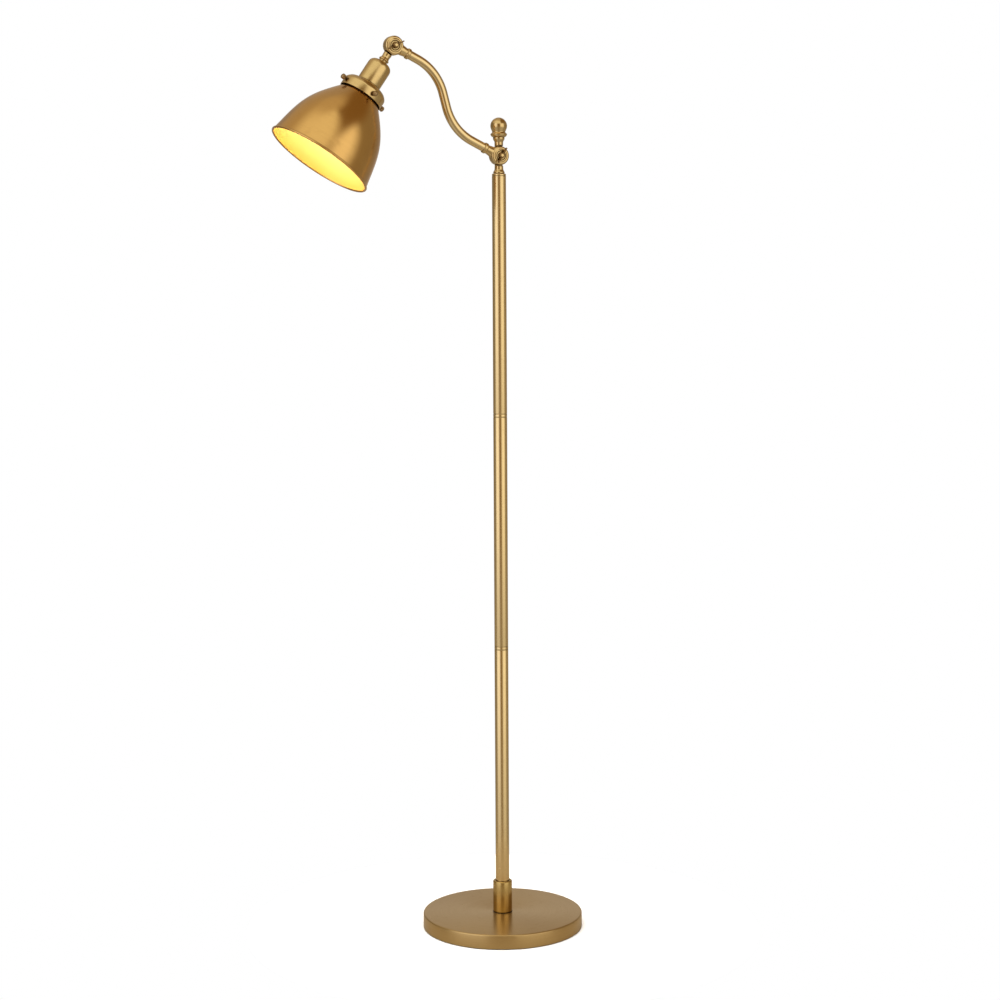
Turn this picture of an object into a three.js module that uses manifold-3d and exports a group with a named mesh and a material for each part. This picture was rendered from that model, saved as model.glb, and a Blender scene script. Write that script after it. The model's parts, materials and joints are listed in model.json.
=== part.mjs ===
// Pharmacy floor lamp: weighted round base, three-part column, swan-neck arm and tilting dome shade.
// Millimetres, +Z up. The origin is the centre of the base's underside, the arm reaches along -X
// and the wing nuts face -Y.
import * as THREE from 'three';
import { mergeVertices } from 'three/addons/utils/BufferGeometryUtils.js';
import Module from 'manifold-3d';

const wasm = await Module();
wasm.setup();

// ---- Driving dimensions ----
const GAP = 0.3;               // clearance between pieces that touch

const BASE_RADIUS = 140;
const BASE_HEIGHT = 26;
const BASE_EDGE_RADIUS = 2.5;
const COVER_WALL = 1.2;
const SKIRT_LIFT = 1;          // cover skirt above the floor
const PAD_THICKNESS = 2.5;
const PAD_INSET = 1.3;         // pad inside the skirt
const WEIGHT_CLEARANCE = 8.8;  // between the weight and the cover's skirt
const WEIGHT_THICKNESS = 14;
const WEIGHT_BOSS_RADIUS = 40;
const WEIGHT_POCKET_RADIUS = 17;
const WEIGHT_POCKET_DEPTH = 9.5;
const WIRE_CHANNEL = 8;        // width of the wire way under the weight

const GLAND_HEIGHT = 8.5;      // cord outlet above the floor
const GLAND_RADIUS = 4.8;
const GLAND_BORE_RADIUS = 3.5;
const GLAND_FLANGE_RADIUS = 6.2;
const GLAND_FLANGE = 2.6;
const GLAND_INNER_FLANGE = 4;
const GLAND_BARB = 0.6;        // inner flange beyond the hole

const ROD_RADIUS = 5;
const ROD_BORE_RADIUS = 3.4;
const ROD_NUT_FLATS = 17;
const ROD_NUT_HEIGHT = 5.4;
const ROD_TAIL = 2;            // rod below its nut
const WASHER_RADIUS = 14;
const WASHER_THICKNESS = 1.6;

const COLLAR_WALL = 4.4;
const COLLAR_HEIGHT = 56;
const COLLAR_FLOOR = 3.7;
const COLLAR_LIP = 2.2;

const TUBE_RADIUS = 12;
const TUBE_WALL = 1.2;
const LOWER_TUBE_LENGTH = 465;
const MIDDLE_TUBE_LENGTH = 400.5;
const UPPER_TUBE_LENGTH = 405.5;
const COUPLER_BAND = 5;
const COUPLER_SPIGOT = 25;
const COUPLER_WALL = 2.5;
const PLUG_LENGTH = 24;
const CAP_FLANGE = 3.7;
const CAP_SPIGOT = 22;
const CAP_EDGE_RADIUS = 2;

const KNUCKLE_RADIUS = 16;
const KNUCKLE_HALF = 8.2;      // thickness of one half
const KNUCKLE_EDGE_RADIUS = 3.5;
const KNUCKLE_RELIEF = 1;      // clearance around a knuckle's edge
const KNUCKLE_RING_RADIUS = 11.4;  // foot of the raised ring on the front half
const KNUCKLE_RING = 1.2;      // height of that ring
const KNUCKLE_CREST = 1.2;     // width of its crest
const KNUCKLE_RECESS_RADIUS = 8.6;
const KNUCKLE_RECESS = 1.7;    // floor of the recess below the crest
const FRICTION_WASHER = 1;
const FRICTION_WASHER_RADIUS = 11.5;
const SCREW_RADIUS = 3;
const SCREW_HEAD_RADIUS = 6;
const SCREW_HEAD = 3;
const SCREW_TIP = 0.8;         // screw beyond the wing nut's hub
const BOSS_RADIUS = 7.6;
const BOSS_THICKNESS = 1.2;
const WING_SPAN = 30;
const WING_THICKNESS = 2;
const WING_HUB_RADIUS = 5.4;
const WING_HUB = 5.4;
const WING_RISE = 9;           // wings above the hub's foot
const LOWER_WING_ANGLE = 59;   // degrees from horizontal
const UPPER_WING_ANGLE = 27;

const STEM_DROP = 29.7;        // knuckle centre above the column
const STEM_RISE = 31.3;        // finial seat above the knuckle centre
const STEM_NECK_RADIUS = 7.4;
const STEM_FLARE_RADIUS = 9.8;
const STEM_SHOULDER_RADIUS = 10;
const STEM_THREAD_RADIUS = 4;
const STEM_THREAD = 20;
const WIRE_BORE_RADIUS = 2.4;

const FINIAL_RING_RADIUS = 14.2;
const FINIAL_RING = 8;
const FINIAL_BALL_RADIUS = 14.2;
const FINIAL_BALL_LIFT = 18.4; // ball centre above the finial's seat
const FINIAL_STUD = 11;

const ARM_TUBE_RADIUS = 7.6;
const ARM_TUBE_WALL = 1.2;
const ARM_END_ANGLE = 26;      // slope of both ends, degrees
const ARM_MIDDLE_ANGLE = 75;   // slope of the middle, degrees
const ARM_LOWER_STRAIGHT = 56;
const ARM_LOWER_BEND = 85;
const ARM_MIDDLE_STRAIGHT = 24;
const ARM_UPPER_BEND = 85;
const ARM_UPPER_STRAIGHT = 48;
const SOCKET_RING_START = 26;
const SOCKET_RING = 5.4;
const SOCKET_WALL = 1.4;       // socket ring beyond the arm tube
const SOCKET_ROOT_FLARE = 1.8; // socket's root beyond the arm tube's radius

const HEAD_TILT = 35;          // shade axis from vertical, degrees
const NECK_RADIUS = 7.2;
const NECK_RING_RADIUS = 8.8;
const NECK_RING_START = 27.6;
const NECK_RING = 3.4;
const NECK_LENGTH = 34.4;
const NIPPLE_RADIUS = 5;
const NIPPLE_BORE_RADIUS = 3.2;
const NIPPLE_LENGTH = 28;
const NIPPLE_SEAT = 12;        // nipple inside the neck
const CUP_LENGTH = 43.3;
const CUP_SHOULDER = 10.3;
const CUP_WALL = 1.2;
const CUP_CLEARANCE = 2.6;     // around the lampholder
const CUP_NUT_FLATS = 15;
const CUP_NUT_HEIGHT = 3.2;

const HOLDER_WALL = 1.7;
const HOLDER_DROP = 5.4;       // lampholder below the cup's top plate
const HOLDER_LENGTH = 54;
const HOLDER_FLOOR = 24;
const SHELL_CLEARANCE = 0.7;   // around the bulb's cap
const SHELL_SEAT = 0.4;        // between the shell and the lampholder
const SHELL_WALL = 0.6;
const SHELL_LENGTH = 27;
const CONTACT_RADIUS = 5;
const CONTACT_THICKNESS = 2;

const FITTER_WALL = 1.2;
const FITTER_CLEARANCE = 1.4;  // around the shade's lip
const FITTER_BEND = 8.5;       // width of the rounded shoulder
const FITTER_CONE = 3;         // fall of the fitter's cone
const FITTER_SHOULDER = 8.2;   // height of the rounded shoulder
const FITTER_BAND = 13.6;
const RING_NUT_WIDTH = 5.4;
const RING_NUT_HEIGHT = 5;

const THUMB_SCREWS = 4;
const THUMB_SCREW_TURN = 10;   // the front screw's angle from the front, degrees
const THUMB_SCREW_DROP = 6;    // below the top of the band
const THUMB_SHANK_RADIUS = 1.9;
const THUMB_HEAD_RADIUS = 4.4;
const THUMB_HEAD = 7;
const THUMB_HEAD_GAP = 2.5;    // head clear of the fitter

const SHADE_WALL = 1;
const SHADE_NECK_RADIUS = 33.8;
const SHADE_LIP = 2.1;         // lip beyond the neck
const SHADE_NECK = 12.5;
const SHADE_ROOT = 1.6;        // dome's top edge beyond the neck
const SHADE_TOP_SLOPE = 40;    // degrees from the axis
const SHADE_RIM_SLOPE = 9.5;
const SHADE_DOME = 114.5;      // height of the dome, neck to flare
const SHADE_WIDE_RADIUS = 87.8;
const SHADE_FLARE = 9;
const SHADE_RIM_FLARE = 2;     // centre of the rolled rim beyond the dome
const SHADE_BEAD_RADIUS = 2;
const SHADE_FULLNESS = 0.87;   // how far the dome fills the corner between its end slopes
const SHADE_CLEARANCE = 0.9;   // dome below the fitter's foot

const BULB_CAP_RADIUS = 13.2;
const BULB_CAP_LENGTH = 26;
const BULB_RADIUS = 30;
const BULB_LENGTH = 82;        // glass below the cap
const BULB_WALL = 1.2;
const LEAD_RADIUS = 2;

// Segments around a turned piece
const LARGE = 32;
const MEDIUM = 18;
const SMALL = 10;
const DOME_STEPS = 8;          // stretches in the dome's outline

// ---- Sizes and heights worked out from the dimensions above ----
const RADIANS = Math.PI / 180;
const WEIGHT_RADIUS = BASE_RADIUS - COVER_WALL - WEIGHT_CLEARANCE;
const COLLAR_RADIUS = TUBE_RADIUS + GAP + COLLAR_WALL;
const SOCKET_RING_RADIUS = ARM_TUBE_RADIUS + GAP + SOCKET_WALL;
const SOCKET_ROOT_RADIUS = ARM_TUBE_RADIUS + SOCKET_ROOT_FLARE;
const SHELL_RADIUS = BULB_CAP_RADIUS + SHELL_CLEARANCE + SHELL_WALL;
const HOLDER_SOCKET_RADIUS = SHELL_RADIUS + SHELL_SEAT;
const HOLDER_RADIUS = HOLDER_SOCKET_RADIUS + HOLDER_WALL;
const CUP_RADIUS = HOLDER_RADIUS + CUP_CLEARANCE + CUP_WALL;
const RING_NUT_RADIUS = HOLDER_RADIUS + RING_NUT_WIDTH;
const SHADE_LIP_RADIUS = SHADE_NECK_RADIUS + SHADE_LIP;
const SHADE_TOP_RADIUS = SHADE_NECK_RADIUS + SHADE_ROOT;
const SHADE_RIM_RADIUS = SHADE_WIDE_RADIUS + SHADE_RIM_FLARE;
const FITTER_RADIUS = SHADE_LIP_RADIUS + FITTER_CLEARANCE + FITTER_WALL;
const FITTER_CONE_RADIUS = FITTER_RADIUS - FITTER_BEND;

const COLLAR_FOOT = BASE_HEIGHT + GAP;
const LOWER_TUBE_FOOT = COLLAR_FOOT + COLLAR_FLOOR + GAP;
const LOWER_BAND_FOOT = LOWER_TUBE_FOOT + LOWER_TUBE_LENGTH + GAP;
const MIDDLE_TUBE_FOOT = LOWER_BAND_FOOT + COUPLER_BAND + GAP;
const UPPER_BAND_FOOT = MIDDLE_TUBE_FOOT + MIDDLE_TUBE_LENGTH + GAP;
const UPPER_TUBE_FOOT = UPPER_BAND_FOOT + COUPLER_BAND + GAP;
const CAP_FOOT = UPPER_TUBE_FOOT + UPPER_TUBE_LENGTH + GAP;
const KNUCKLE_HEIGHT = CAP_FOOT + CAP_FLANGE + GAP + STEM_DROP;

const TUBE_BORE_RADIUS = TUBE_RADIUS - TUBE_WALL;
const SPIGOT_RADIUS = TUBE_BORE_RADIUS - GAP;
const KNUCKLE_FACE = FRICTION_WASHER / 2 + GAP;
const KNUCKLE_OUTER = KNUCKLE_FACE + KNUCKLE_HALF;
const RECESS_FACE = KNUCKLE_OUTER + KNUCKLE_RING - KNUCKLE_RECESS;
const BOSS_FACE = RECESS_FACE + GAP;
const HUB_FACE = BOSS_FACE + BOSS_THICKNESS + GAP;
const RELIEF_RADIUS = KNUCKLE_RADIUS + KNUCKLE_RELIEF;

const CUP_TOP = NECK_LENGTH + GAP;
const HOLDER_TOP = CUP_TOP + CUP_WALL + HOLDER_DROP;
const FITTER_TOP = CUP_TOP + CUP_LENGTH + GAP;
const BAND_TOP = FITTER_TOP + FITTER_CONE + FITTER_SHOULDER;
const FITTER_FOOT = BAND_TOP + FITTER_BAND;
const THUMB_SCREW_LEVEL = BAND_TOP + THUMB_SCREW_DROP;
const CONTACT_LEVEL = HOLDER_TOP + HOLDER_FLOOR + GAP;
const BULB_CAP_TOP = CONTACT_LEVEL + CONTACT_THICKNESS + GAP;
const GLASS_TOP = BULB_CAP_TOP + BULB_CAP_LENGTH + GAP;
const SHADE_TOP = FITTER_FOOT + SHADE_CLEARANCE;

// ---- Finishes ----
function finish(color, roughness, metalness) {
  return new THREE.MeshStandardMaterial({ color, roughness, metalness });
}

const FINISHES = {
  satinBrass: () => finish(0xb08d4f, 0.38, 1),
  tubeBrass: () => finish(0xb8925a, 0.32, 1),
  baseBrass: () => finish(0xa88a5c, 0.45, 1),
  polishedBrass: () => finish(0xc09a58, 0.25, 1),
  agedBrass: () => finish(0x9a6a34, 0.36, 1),
  castIron: () => finish(0x3a3a3c, 0.8, 0.6),
  zincSteel: () => finish(0x9a9c9e, 0.4, 1),
  blackFoam: () => finish(0x1c1c1d, 0.95, 0),
  blackRubber: () => finish(0x222222, 0.7, 0),
  fibre: () => finish(0x4a3a2c, 0.9, 0),
  porcelain: () => finish(0xece8de, 0.3, 0),
  frostedGlass: () => finish(0xfff4dc, 0.5, 0),
  nickel: () => finish(0xb9b6ae, 0.3, 1),
  leadSheath: () => finish(0xb8a070, 0.6, 0),
};

// ---- Geometry helpers ----
// Points of an arc in a profile, angles in degrees from the radius axis
function arc(centreR, centreH, radius, from, to, steps) {
  return Array.from({ length: steps + 1 }, (_, i) => {
    const angle = (from + (to - from) * i / steps) * RADIANS;
    return [centreR + radius * Math.cos(angle), centreH + radius * Math.sin(angle)];
  });
}

// A piece turned about Y from [radius, y] points
function turnedY(profile, segments) {
  return new THREE.LatheGeometry(profile.map(([r, h]) => new THREE.Vector2(r, h)), segments);
}

// A piece turned about Z from [radius, z] points, the lowest first
function turned(profile, segments) {
  return turnedY(profile, segments).rotateX(Math.PI / 2);
}

// A profile that closes on itself
function closed(profile) {
  return [...profile, profile[0]];
}

// A profile measured downwards from the head knuckle, turned the right way up
function hanging(profile) {
  return profile.map(([r, drop]) => [r, -drop]);
}

function pipe(outer, inner, low, high, segments) {
  return turned(closed([[inner, low], [outer, low], [outer, high], [inner, high]]), segments);
}

function rod(radius, low, high, segments) {
  return turned([[0, low], [radius, low], [radius, high], [0, high]], segments);
}

function hexNut(flats, bore, low, high) {
  const corner = flats / Math.sqrt(3);
  const shape = new THREE.Shape(Array.from({ length: 6 }, (_, i) => (
    new THREE.Vector2(corner * Math.cos(i * 60 * RADIANS), corner * Math.sin(i * 60 * RADIANS))
  )));
  const hole = new THREE.Path();
  hole.absarc(0, 0, bore, 0, 2 * Math.PI, true);
  shape.holes.push(hole);
  const options = { depth: high - low, bevelEnabled: false, curveSegments: SMALL };
  return new THREE.ExtrudeGeometry(shape, options).translate(0, 0, low);
}

// ---- Joining and cutting ----
function toSolid(geometry) {
  const bare = geometry.clone();
  bare.deleteAttribute('normal');
  bare.deleteAttribute('uv');
  const merged = mergeVertices(bare, 1e-4);
  const corners = [];
  for (let i = 0; i < merged.index.count; i += 3) {
    const [a, b, c] = [0, 1, 2].map((k) => merged.index.getX(i + k));
    if (a !== b && b !== c && c !== a) corners.push(a, b, c);
  }
  return new wasm.Manifold(new wasm.Mesh({
    numProp: 3,
    vertProperties: new Float32Array(merged.attributes.position.array),
    triVerts: new Uint32Array(corners),
  }));
}

function toGeometry(solid) {
  const mesh = solid.getMesh();
  const geometry = new THREE.BufferGeometry();
  geometry.setAttribute('position', new THREE.BufferAttribute(mesh.vertProperties, 3));
  geometry.setIndex(new THREE.BufferAttribute(mesh.triVerts, 1));
  return geometry;
}

function join(...geometries) {
  return toGeometry(geometries.map(toSolid).reduce((whole, piece) => whole.add(piece)));
}

function cut(geometry, ...tools) {
  return toGeometry(tools.map(toSolid).reduce((whole, tool) => whole.subtract(tool), toSolid(geometry)));
}

function piece(group, name, geometry, material) {
  geometry.computeVertexNormals();
  const mesh = new THREE.Mesh(geometry, FINISHES[material]());
  mesh.name = name;
  group.add(mesh);
  return mesh;
}

// ---- Base ----
function basePad() {
  return rod(BASE_RADIUS - COVER_WALL - PAD_INSET, 0, PAD_THICKNESS, LARGE);
}

function baseWeight() {
  const low = PAD_THICKNESS + GAP;
  const top = BASE_HEIGHT - COVER_WALL - GAP;
  const pocket = low + WEIGHT_POCKET_DEPTH;
  const body = turned(closed([
    [ROD_RADIUS + 2 * GAP, pocket],
    [WEIGHT_POCKET_RADIUS, pocket],
    [WEIGHT_POCKET_RADIUS, low],
    [WEIGHT_RADIUS, low],
    [WEIGHT_RADIUS, low + WEIGHT_THICKNESS],
    [WEIGHT_BOSS_RADIUS, low + WEIGHT_THICKNESS],
    [WEIGHT_BOSS_RADIUS - 3, top],
    [ROD_RADIUS + 2 * GAP, top],
  ]), LARGE);
  const channel = new THREE.BoxGeometry(BASE_RADIUS, WIRE_CHANNEL, 2 * GLAND_HEIGHT + WIRE_CHANNEL);
  channel.translate(BASE_RADIUS / 2 + WEIGHT_POCKET_RADIUS / 2, 0, 0);
  return cut(body, channel);
}

function baseCover() {
  const inner = BASE_RADIUS - COVER_WALL;
  const under = BASE_HEIGHT - COVER_WALL;
  const edge = BASE_EDGE_RADIUS;
  const hole = ROD_RADIUS + GAP;
  const shell = turned(closed([
    [inner, SKIRT_LIFT],
    [BASE_RADIUS, SKIRT_LIFT],
    ...arc(BASE_RADIUS - edge, BASE_HEIGHT - edge, edge, 0, 90, 3),
    [hole, BASE_HEIGHT],
    [hole, under],
    ...arc(inner - 1, under - 1, 1, 90, 0, 1),
  ]), LARGE);
  const outlet = turned([
    [0, BASE_RADIUS - 10],
    [GLAND_RADIUS + GAP, BASE_RADIUS - 10],
    [GLAND_RADIUS + GAP, BASE_RADIUS + 10],
    [0, BASE_RADIUS + 10],
  ], SMALL).rotateY(Math.PI / 2).translate(0, 0, GLAND_HEIGHT);
  return cut(shell, outlet);
}

function cordGland() {
  const wallIn = BASE_RADIUS - COVER_WALL - 2 * GAP;
  const wallOut = BASE_RADIUS + GAP;
  return turned(closed([
    [GLAND_BORE_RADIUS, wallIn - GLAND_INNER_FLANGE],
    [GLAND_RADIUS + GLAND_BARB, wallIn - GLAND_INNER_FLANGE],
    [GLAND_RADIUS + GLAND_BARB, wallIn - GLAND_BARB],
    [GLAND_RADIUS, wallIn],
    [GLAND_RADIUS, wallOut],
    [GLAND_FLANGE_RADIUS, wallOut],
    [GLAND_FLANGE_RADIUS, wallOut + GLAND_FLANGE / 2],
    [GLAND_RADIUS, wallOut + GLAND_FLANGE],
    [GLAND_BORE_RADIUS, wallOut + GLAND_FLANGE],
  ]), SMALL).rotateY(Math.PI / 2).translate(0, 0, GLAND_HEIGHT);
}

function baseCollar() {
  const bore = TUBE_RADIUS + GAP;
  const top = COLLAR_FOOT + COLLAR_HEIGHT;
  const lip = COLLAR_LIP;
  return turned(closed([
    [ROD_RADIUS + GAP, COLLAR_FOOT],
    [COLLAR_RADIUS - 0.5, COLLAR_FOOT],
    [COLLAR_RADIUS, COLLAR_FOOT + 0.5],
    ...arc(COLLAR_RADIUS - lip, top - lip, lip, 0, 90, 3),
    [bore, top],
    [bore, COLLAR_FOOT + COLLAR_FLOOR],
    [ROD_RADIUS + GAP, COLLAR_FOOT + COLLAR_FLOOR],
  ]), MEDIUM);
}

function buildBase(stand) {
  const nutTop = PAD_THICKNESS + GAP + WEIGHT_POCKET_DEPTH - 2 * GAP - WASHER_THICKNESS;
  const nutFoot = nutTop - ROD_NUT_HEIGHT;
  const plugFoot = LOWER_TUBE_FOOT + GAP;
  piece(stand, 'base_pad', basePad(), 'blackFoam');
  piece(stand, 'base_weight', baseWeight(), 'castIron');
  piece(stand, 'base_cover', baseCover(), 'baseBrass');
  piece(stand, 'base_collar', baseCollar(), 'satinBrass');
  piece(stand, 'cord_gland', cordGland(), 'blackRubber');
  const threaded = pipe(ROD_RADIUS, ROD_BORE_RADIUS, nutFoot - ROD_TAIL, plugFoot + PLUG_LENGTH - 2, SMALL);
  piece(stand, 'threaded_rod', threaded, 'zincSteel');
  piece(stand, 'rod_nut', hexNut(ROD_NUT_FLATS, ROD_RADIUS + GAP, nutFoot, nutTop), 'zincSteel');
  const washer = pipe(WASHER_RADIUS, ROD_RADIUS + GAP, nutTop + GAP, nutTop + GAP + WASHER_THICKNESS, SMALL);
  piece(stand, 'rod_washer', washer, 'zincSteel');
  const plug = pipe(SPIGOT_RADIUS, ROD_RADIUS + GAP, plugFoot, plugFoot + PLUG_LENGTH, MEDIUM);
  piece(stand, 'column_plug', plug, 'zincSteel');
}

// ---- Column ----
function columnTube(foot, length) {
  return pipe(TUBE_RADIUS, TUBE_BORE_RADIUS, foot, foot + length, MEDIUM);
}

function tubeCoupler(foot) {
  const top = foot + COUPLER_BAND;
  const bore = SPIGOT_RADIUS - COUPLER_WALL;
  return turned(closed([
    [bore, foot - COUPLER_SPIGOT],
    [SPIGOT_RADIUS, foot - COUPLER_SPIGOT],
    [SPIGOT_RADIUS, foot],
    [TUBE_RADIUS, foot],
    [TUBE_RADIUS, top],
    [SPIGOT_RADIUS, top],
    [SPIGOT_RADIUS, top + COUPLER_SPIGOT],
    [bore, top + COUPLER_SPIGOT],
  ]), MEDIUM);
}

function columnCap() {
  const top = CAP_FOOT + CAP_FLANGE;
  const edge = CAP_EDGE_RADIUS;
  const bore = STEM_THREAD_RADIUS + GAP;
  return turned(closed([
    [bore, CAP_FOOT - CAP_SPIGOT],
    [SPIGOT_RADIUS, CAP_FOOT - CAP_SPIGOT],
    [SPIGOT_RADIUS, CAP_FOOT],
    [TUBE_RADIUS, CAP_FOOT],
    ...arc(TUBE_RADIUS - edge, top - edge, edge, 0, 90, 3),
    [bore, top],
  ]), MEDIUM);
}

function buildColumn(stand) {
  piece(stand, 'lower_tube', columnTube(LOWER_TUBE_FOOT, LOWER_TUBE_LENGTH), 'tubeBrass');
  piece(stand, 'lower_coupler', tubeCoupler(LOWER_BAND_FOOT), 'tubeBrass');
  piece(stand, 'middle_tube', columnTube(MIDDLE_TUBE_FOOT, MIDDLE_TUBE_LENGTH), 'tubeBrass');
  piece(stand, 'upper_coupler', tubeCoupler(UPPER_BAND_FOOT), 'tubeBrass');
  piece(stand, 'upper_tube', columnTube(UPPER_TUBE_FOOT, UPPER_TUBE_LENGTH), 'tubeBrass');
  piece(stand, 'column_cap', columnCap(), 'tubeBrass');
  const leadFoot = LOWER_TUBE_FOOT + PLUG_LENGTH + 5;
  const leadTop = CAP_FOOT - CAP_SPIGOT - 5;
  piece(stand, 'column_lead', rod(LEAD_RADIUS, leadFoot, leadTop, 8), 'leadSheath');
}

// ---- Knuckle joints, drawn about their own centre with the hinge along Y ----
// Clearance cut where the other half turns: from its mating face outwards
function relief(side) {
  const reach = 2 * KNUCKLE_RADIUS;
  const [low, high] = side > 0 ? [-reach, KNUCKLE_FACE] : [-KNUCKLE_FACE, reach];
  return turnedY([[0, low], [RELIEF_RADIUS, low], [RELIEF_RADIUS, high], [0, high]], MEDIUM);
}

function screwHole() {
  const reach = 2 * KNUCKLE_RADIUS;
  const radius = SCREW_RADIUS + GAP;
  return turnedY([[0, -reach], [radius, -reach], [radius, reach], [0, reach]], SMALL);
}

function rearDisc() {
  const edge = KNUCKLE_EDGE_RADIUS;
  return turnedY([
    [0, KNUCKLE_FACE],
    [KNUCKLE_RADIUS, KNUCKLE_FACE],
    ...arc(KNUCKLE_RADIUS - edge, KNUCKLE_OUTER - edge, edge, 0, 90, 3),
    [0, KNUCKLE_OUTER],
  ], MEDIUM);
}

function frontDisc() {
  const edge = KNUCKLE_EDGE_RADIUS;
  const crest = -KNUCKLE_OUTER - KNUCKLE_RING;
  return turnedY([
    [0, -RECESS_FACE],
    [KNUCKLE_RECESS_RADIUS, -RECESS_FACE],
    [KNUCKLE_RECESS_RADIUS, crest],
    [KNUCKLE_RECESS_RADIUS + KNUCKLE_CREST, crest],
    [KNUCKLE_RING_RADIUS, -KNUCKLE_OUTER],
    ...arc(KNUCKLE_RADIUS - edge, -KNUCKLE_OUTER + edge, edge, -90, 0, 3),
    [KNUCKLE_RADIUS, -KNUCKLE_FACE],
    [0, -KNUCKLE_FACE],
  ], MEDIUM);
}

function stemKnuckle() {
  const neck = turned([
    [0, -STEM_DROP - STEM_THREAD],
    [STEM_THREAD_RADIUS, -STEM_DROP - STEM_THREAD],
    [STEM_THREAD_RADIUS, -STEM_DROP],
    [STEM_FLARE_RADIUS, -STEM_DROP],
    [STEM_FLARE_RADIUS, -STEM_DROP + 3],
    [STEM_NECK_RADIUS + 0.6, -STEM_DROP + 6.5],
    [STEM_NECK_RADIUS, -STEM_DROP + 9],
    [STEM_NECK_RADIUS, STEM_RISE - 8.5],
    [STEM_SHOULDER_RADIUS - 1.2, STEM_RISE - 5.5],
    [STEM_SHOULDER_RADIUS, STEM_RISE - 2],
    [STEM_SHOULDER_RADIUS - 0.6, STEM_RISE],
    [0, STEM_RISE],
  ], MEDIUM);
  const wireWay = rod(WIRE_BORE_RADIUS, -STEM_DROP - 2 * STEM_THREAD, 2 - RELIEF_RADIUS, SMALL);
  const finialHole = rod(STEM_THREAD_RADIUS + GAP, STEM_RISE - FINIAL_STUD - 1, STEM_RISE + 1, SMALL);
  return cut(join(cut(neck, relief(1)), rearDisc()), screwHole(), wireWay, finialHole);
}

// Front half with a socket that points away from the hinge at an angle above -X
function armKnuckle(angle) {
  const ringEnd = SOCKET_RING_START + SOCKET_RING;
  const bore = ARM_TUBE_RADIUS + GAP;
  const socket = turned([
    [0, KNUCKLE_RADIUS / 2],
    [SOCKET_ROOT_RADIUS, KNUCKLE_RADIUS / 2],
    [SOCKET_ROOT_RADIUS - 0.6, RELIEF_RADIUS],
    [ARM_TUBE_RADIUS, SOCKET_RING_START - 1],
    [SOCKET_RING_RADIUS, SOCKET_RING_START],
    [SOCKET_RING_RADIUS, ringEnd],
    [bore, ringEnd],
    [bore, SOCKET_RING_START],
    [WIRE_BORE_RADIUS, SOCKET_RING_START],
    [WIRE_BORE_RADIUS, KNUCKLE_RADIUS - 4],
    [0, KNUCKLE_RADIUS - 4],
  ], MEDIUM);
  socket.rotateY((angle - 90) * RADIANS);
  return cut(join(cut(socket, relief(-1)), frontDisc()), screwHole());
}

function headKnuckle() {
  const seat = NECK_LENGTH - NIPPLE_SEAT;
  const neck = turned(hanging([
    [0, NECK_LENGTH],
    [NECK_RADIUS, NECK_LENGTH],
    [NECK_RADIUS, NECK_RING_START + NECK_RING],
    [NECK_RING_RADIUS, NECK_RING_START + NECK_RING],
    [NECK_RING_RADIUS, NECK_RING_START],
    [NECK_RADIUS - 0.4, NECK_RING_START - 3],
    [NECK_RADIUS, RELIEF_RADIUS],
    [NECK_RADIUS, KNUCKLE_RADIUS / 2],
    [0, KNUCKLE_RADIUS / 2],
  ]), MEDIUM);
  const thread = rod(NIPPLE_RADIUS + GAP, -NECK_LENGTH - 1, -seat, SMALL);
  const wireWay = rod(WIRE_BORE_RADIUS, -NECK_LENGTH, 2 - RELIEF_RADIUS, SMALL);
  return cut(join(cut(neck, relief(1)), rearDisc()), screwHole(), thread, wireWay);
}

function frictionWasher() {
  const half = FRICTION_WASHER / 2;
  return turnedY(closed([
    [SCREW_RADIUS + GAP, -half],
    [FRICTION_WASHER_RADIUS, -half],
    [FRICTION_WASHER_RADIUS, half],
    [SCREW_RADIUS + GAP, half],
  ]), SMALL);
}

function knuckleScrew() {
  const tip = -HUB_FACE - WING_HUB - SCREW_TIP;
  const seat = KNUCKLE_OUTER + GAP;
  return turnedY([
    [0, tip],
    [SCREW_RADIUS - 0.6, tip],
    [SCREW_RADIUS, tip + 0.6],
    [SCREW_RADIUS, seat],
    [SCREW_HEAD_RADIUS, seat],
    [SCREW_HEAD_RADIUS, seat + SCREW_HEAD * 0.5],
    [SCREW_HEAD_RADIUS * 0.6, seat + SCREW_HEAD],
    [0, seat + SCREW_HEAD],
  ], SMALL);
}

function bossWasher() {
  return turnedY(closed([
    [SCREW_RADIUS + GAP, -BOSS_FACE - BOSS_THICKNESS],
    [BOSS_RADIUS - 0.7, -BOSS_FACE - BOSS_THICKNESS],
    [BOSS_RADIUS, -BOSS_FACE],
    [SCREW_RADIUS + GAP, -BOSS_FACE],
  ]), SMALL);
}

// One ear, drawn in X outwards and Y up from the hub's foot
function wingOutline() {
  const tip = WING_SPAN / 2;
  const shape = new THREE.Shape();
  shape.moveTo(SCREW_RADIUS + 1, 0.6);
  shape.lineTo(tip * 0.62, 0.9);
  shape.quadraticCurveTo(tip * 0.92, 1.6, tip, WING_RISE * 0.62);
  shape.quadraticCurveTo(tip * 1.02, WING_RISE, tip * 0.82, WING_RISE);
  shape.quadraticCurveTo(tip * 0.56, WING_RISE * 0.9, SCREW_RADIUS + 1, WING_HUB * 0.8);
  return shape;
}

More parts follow.
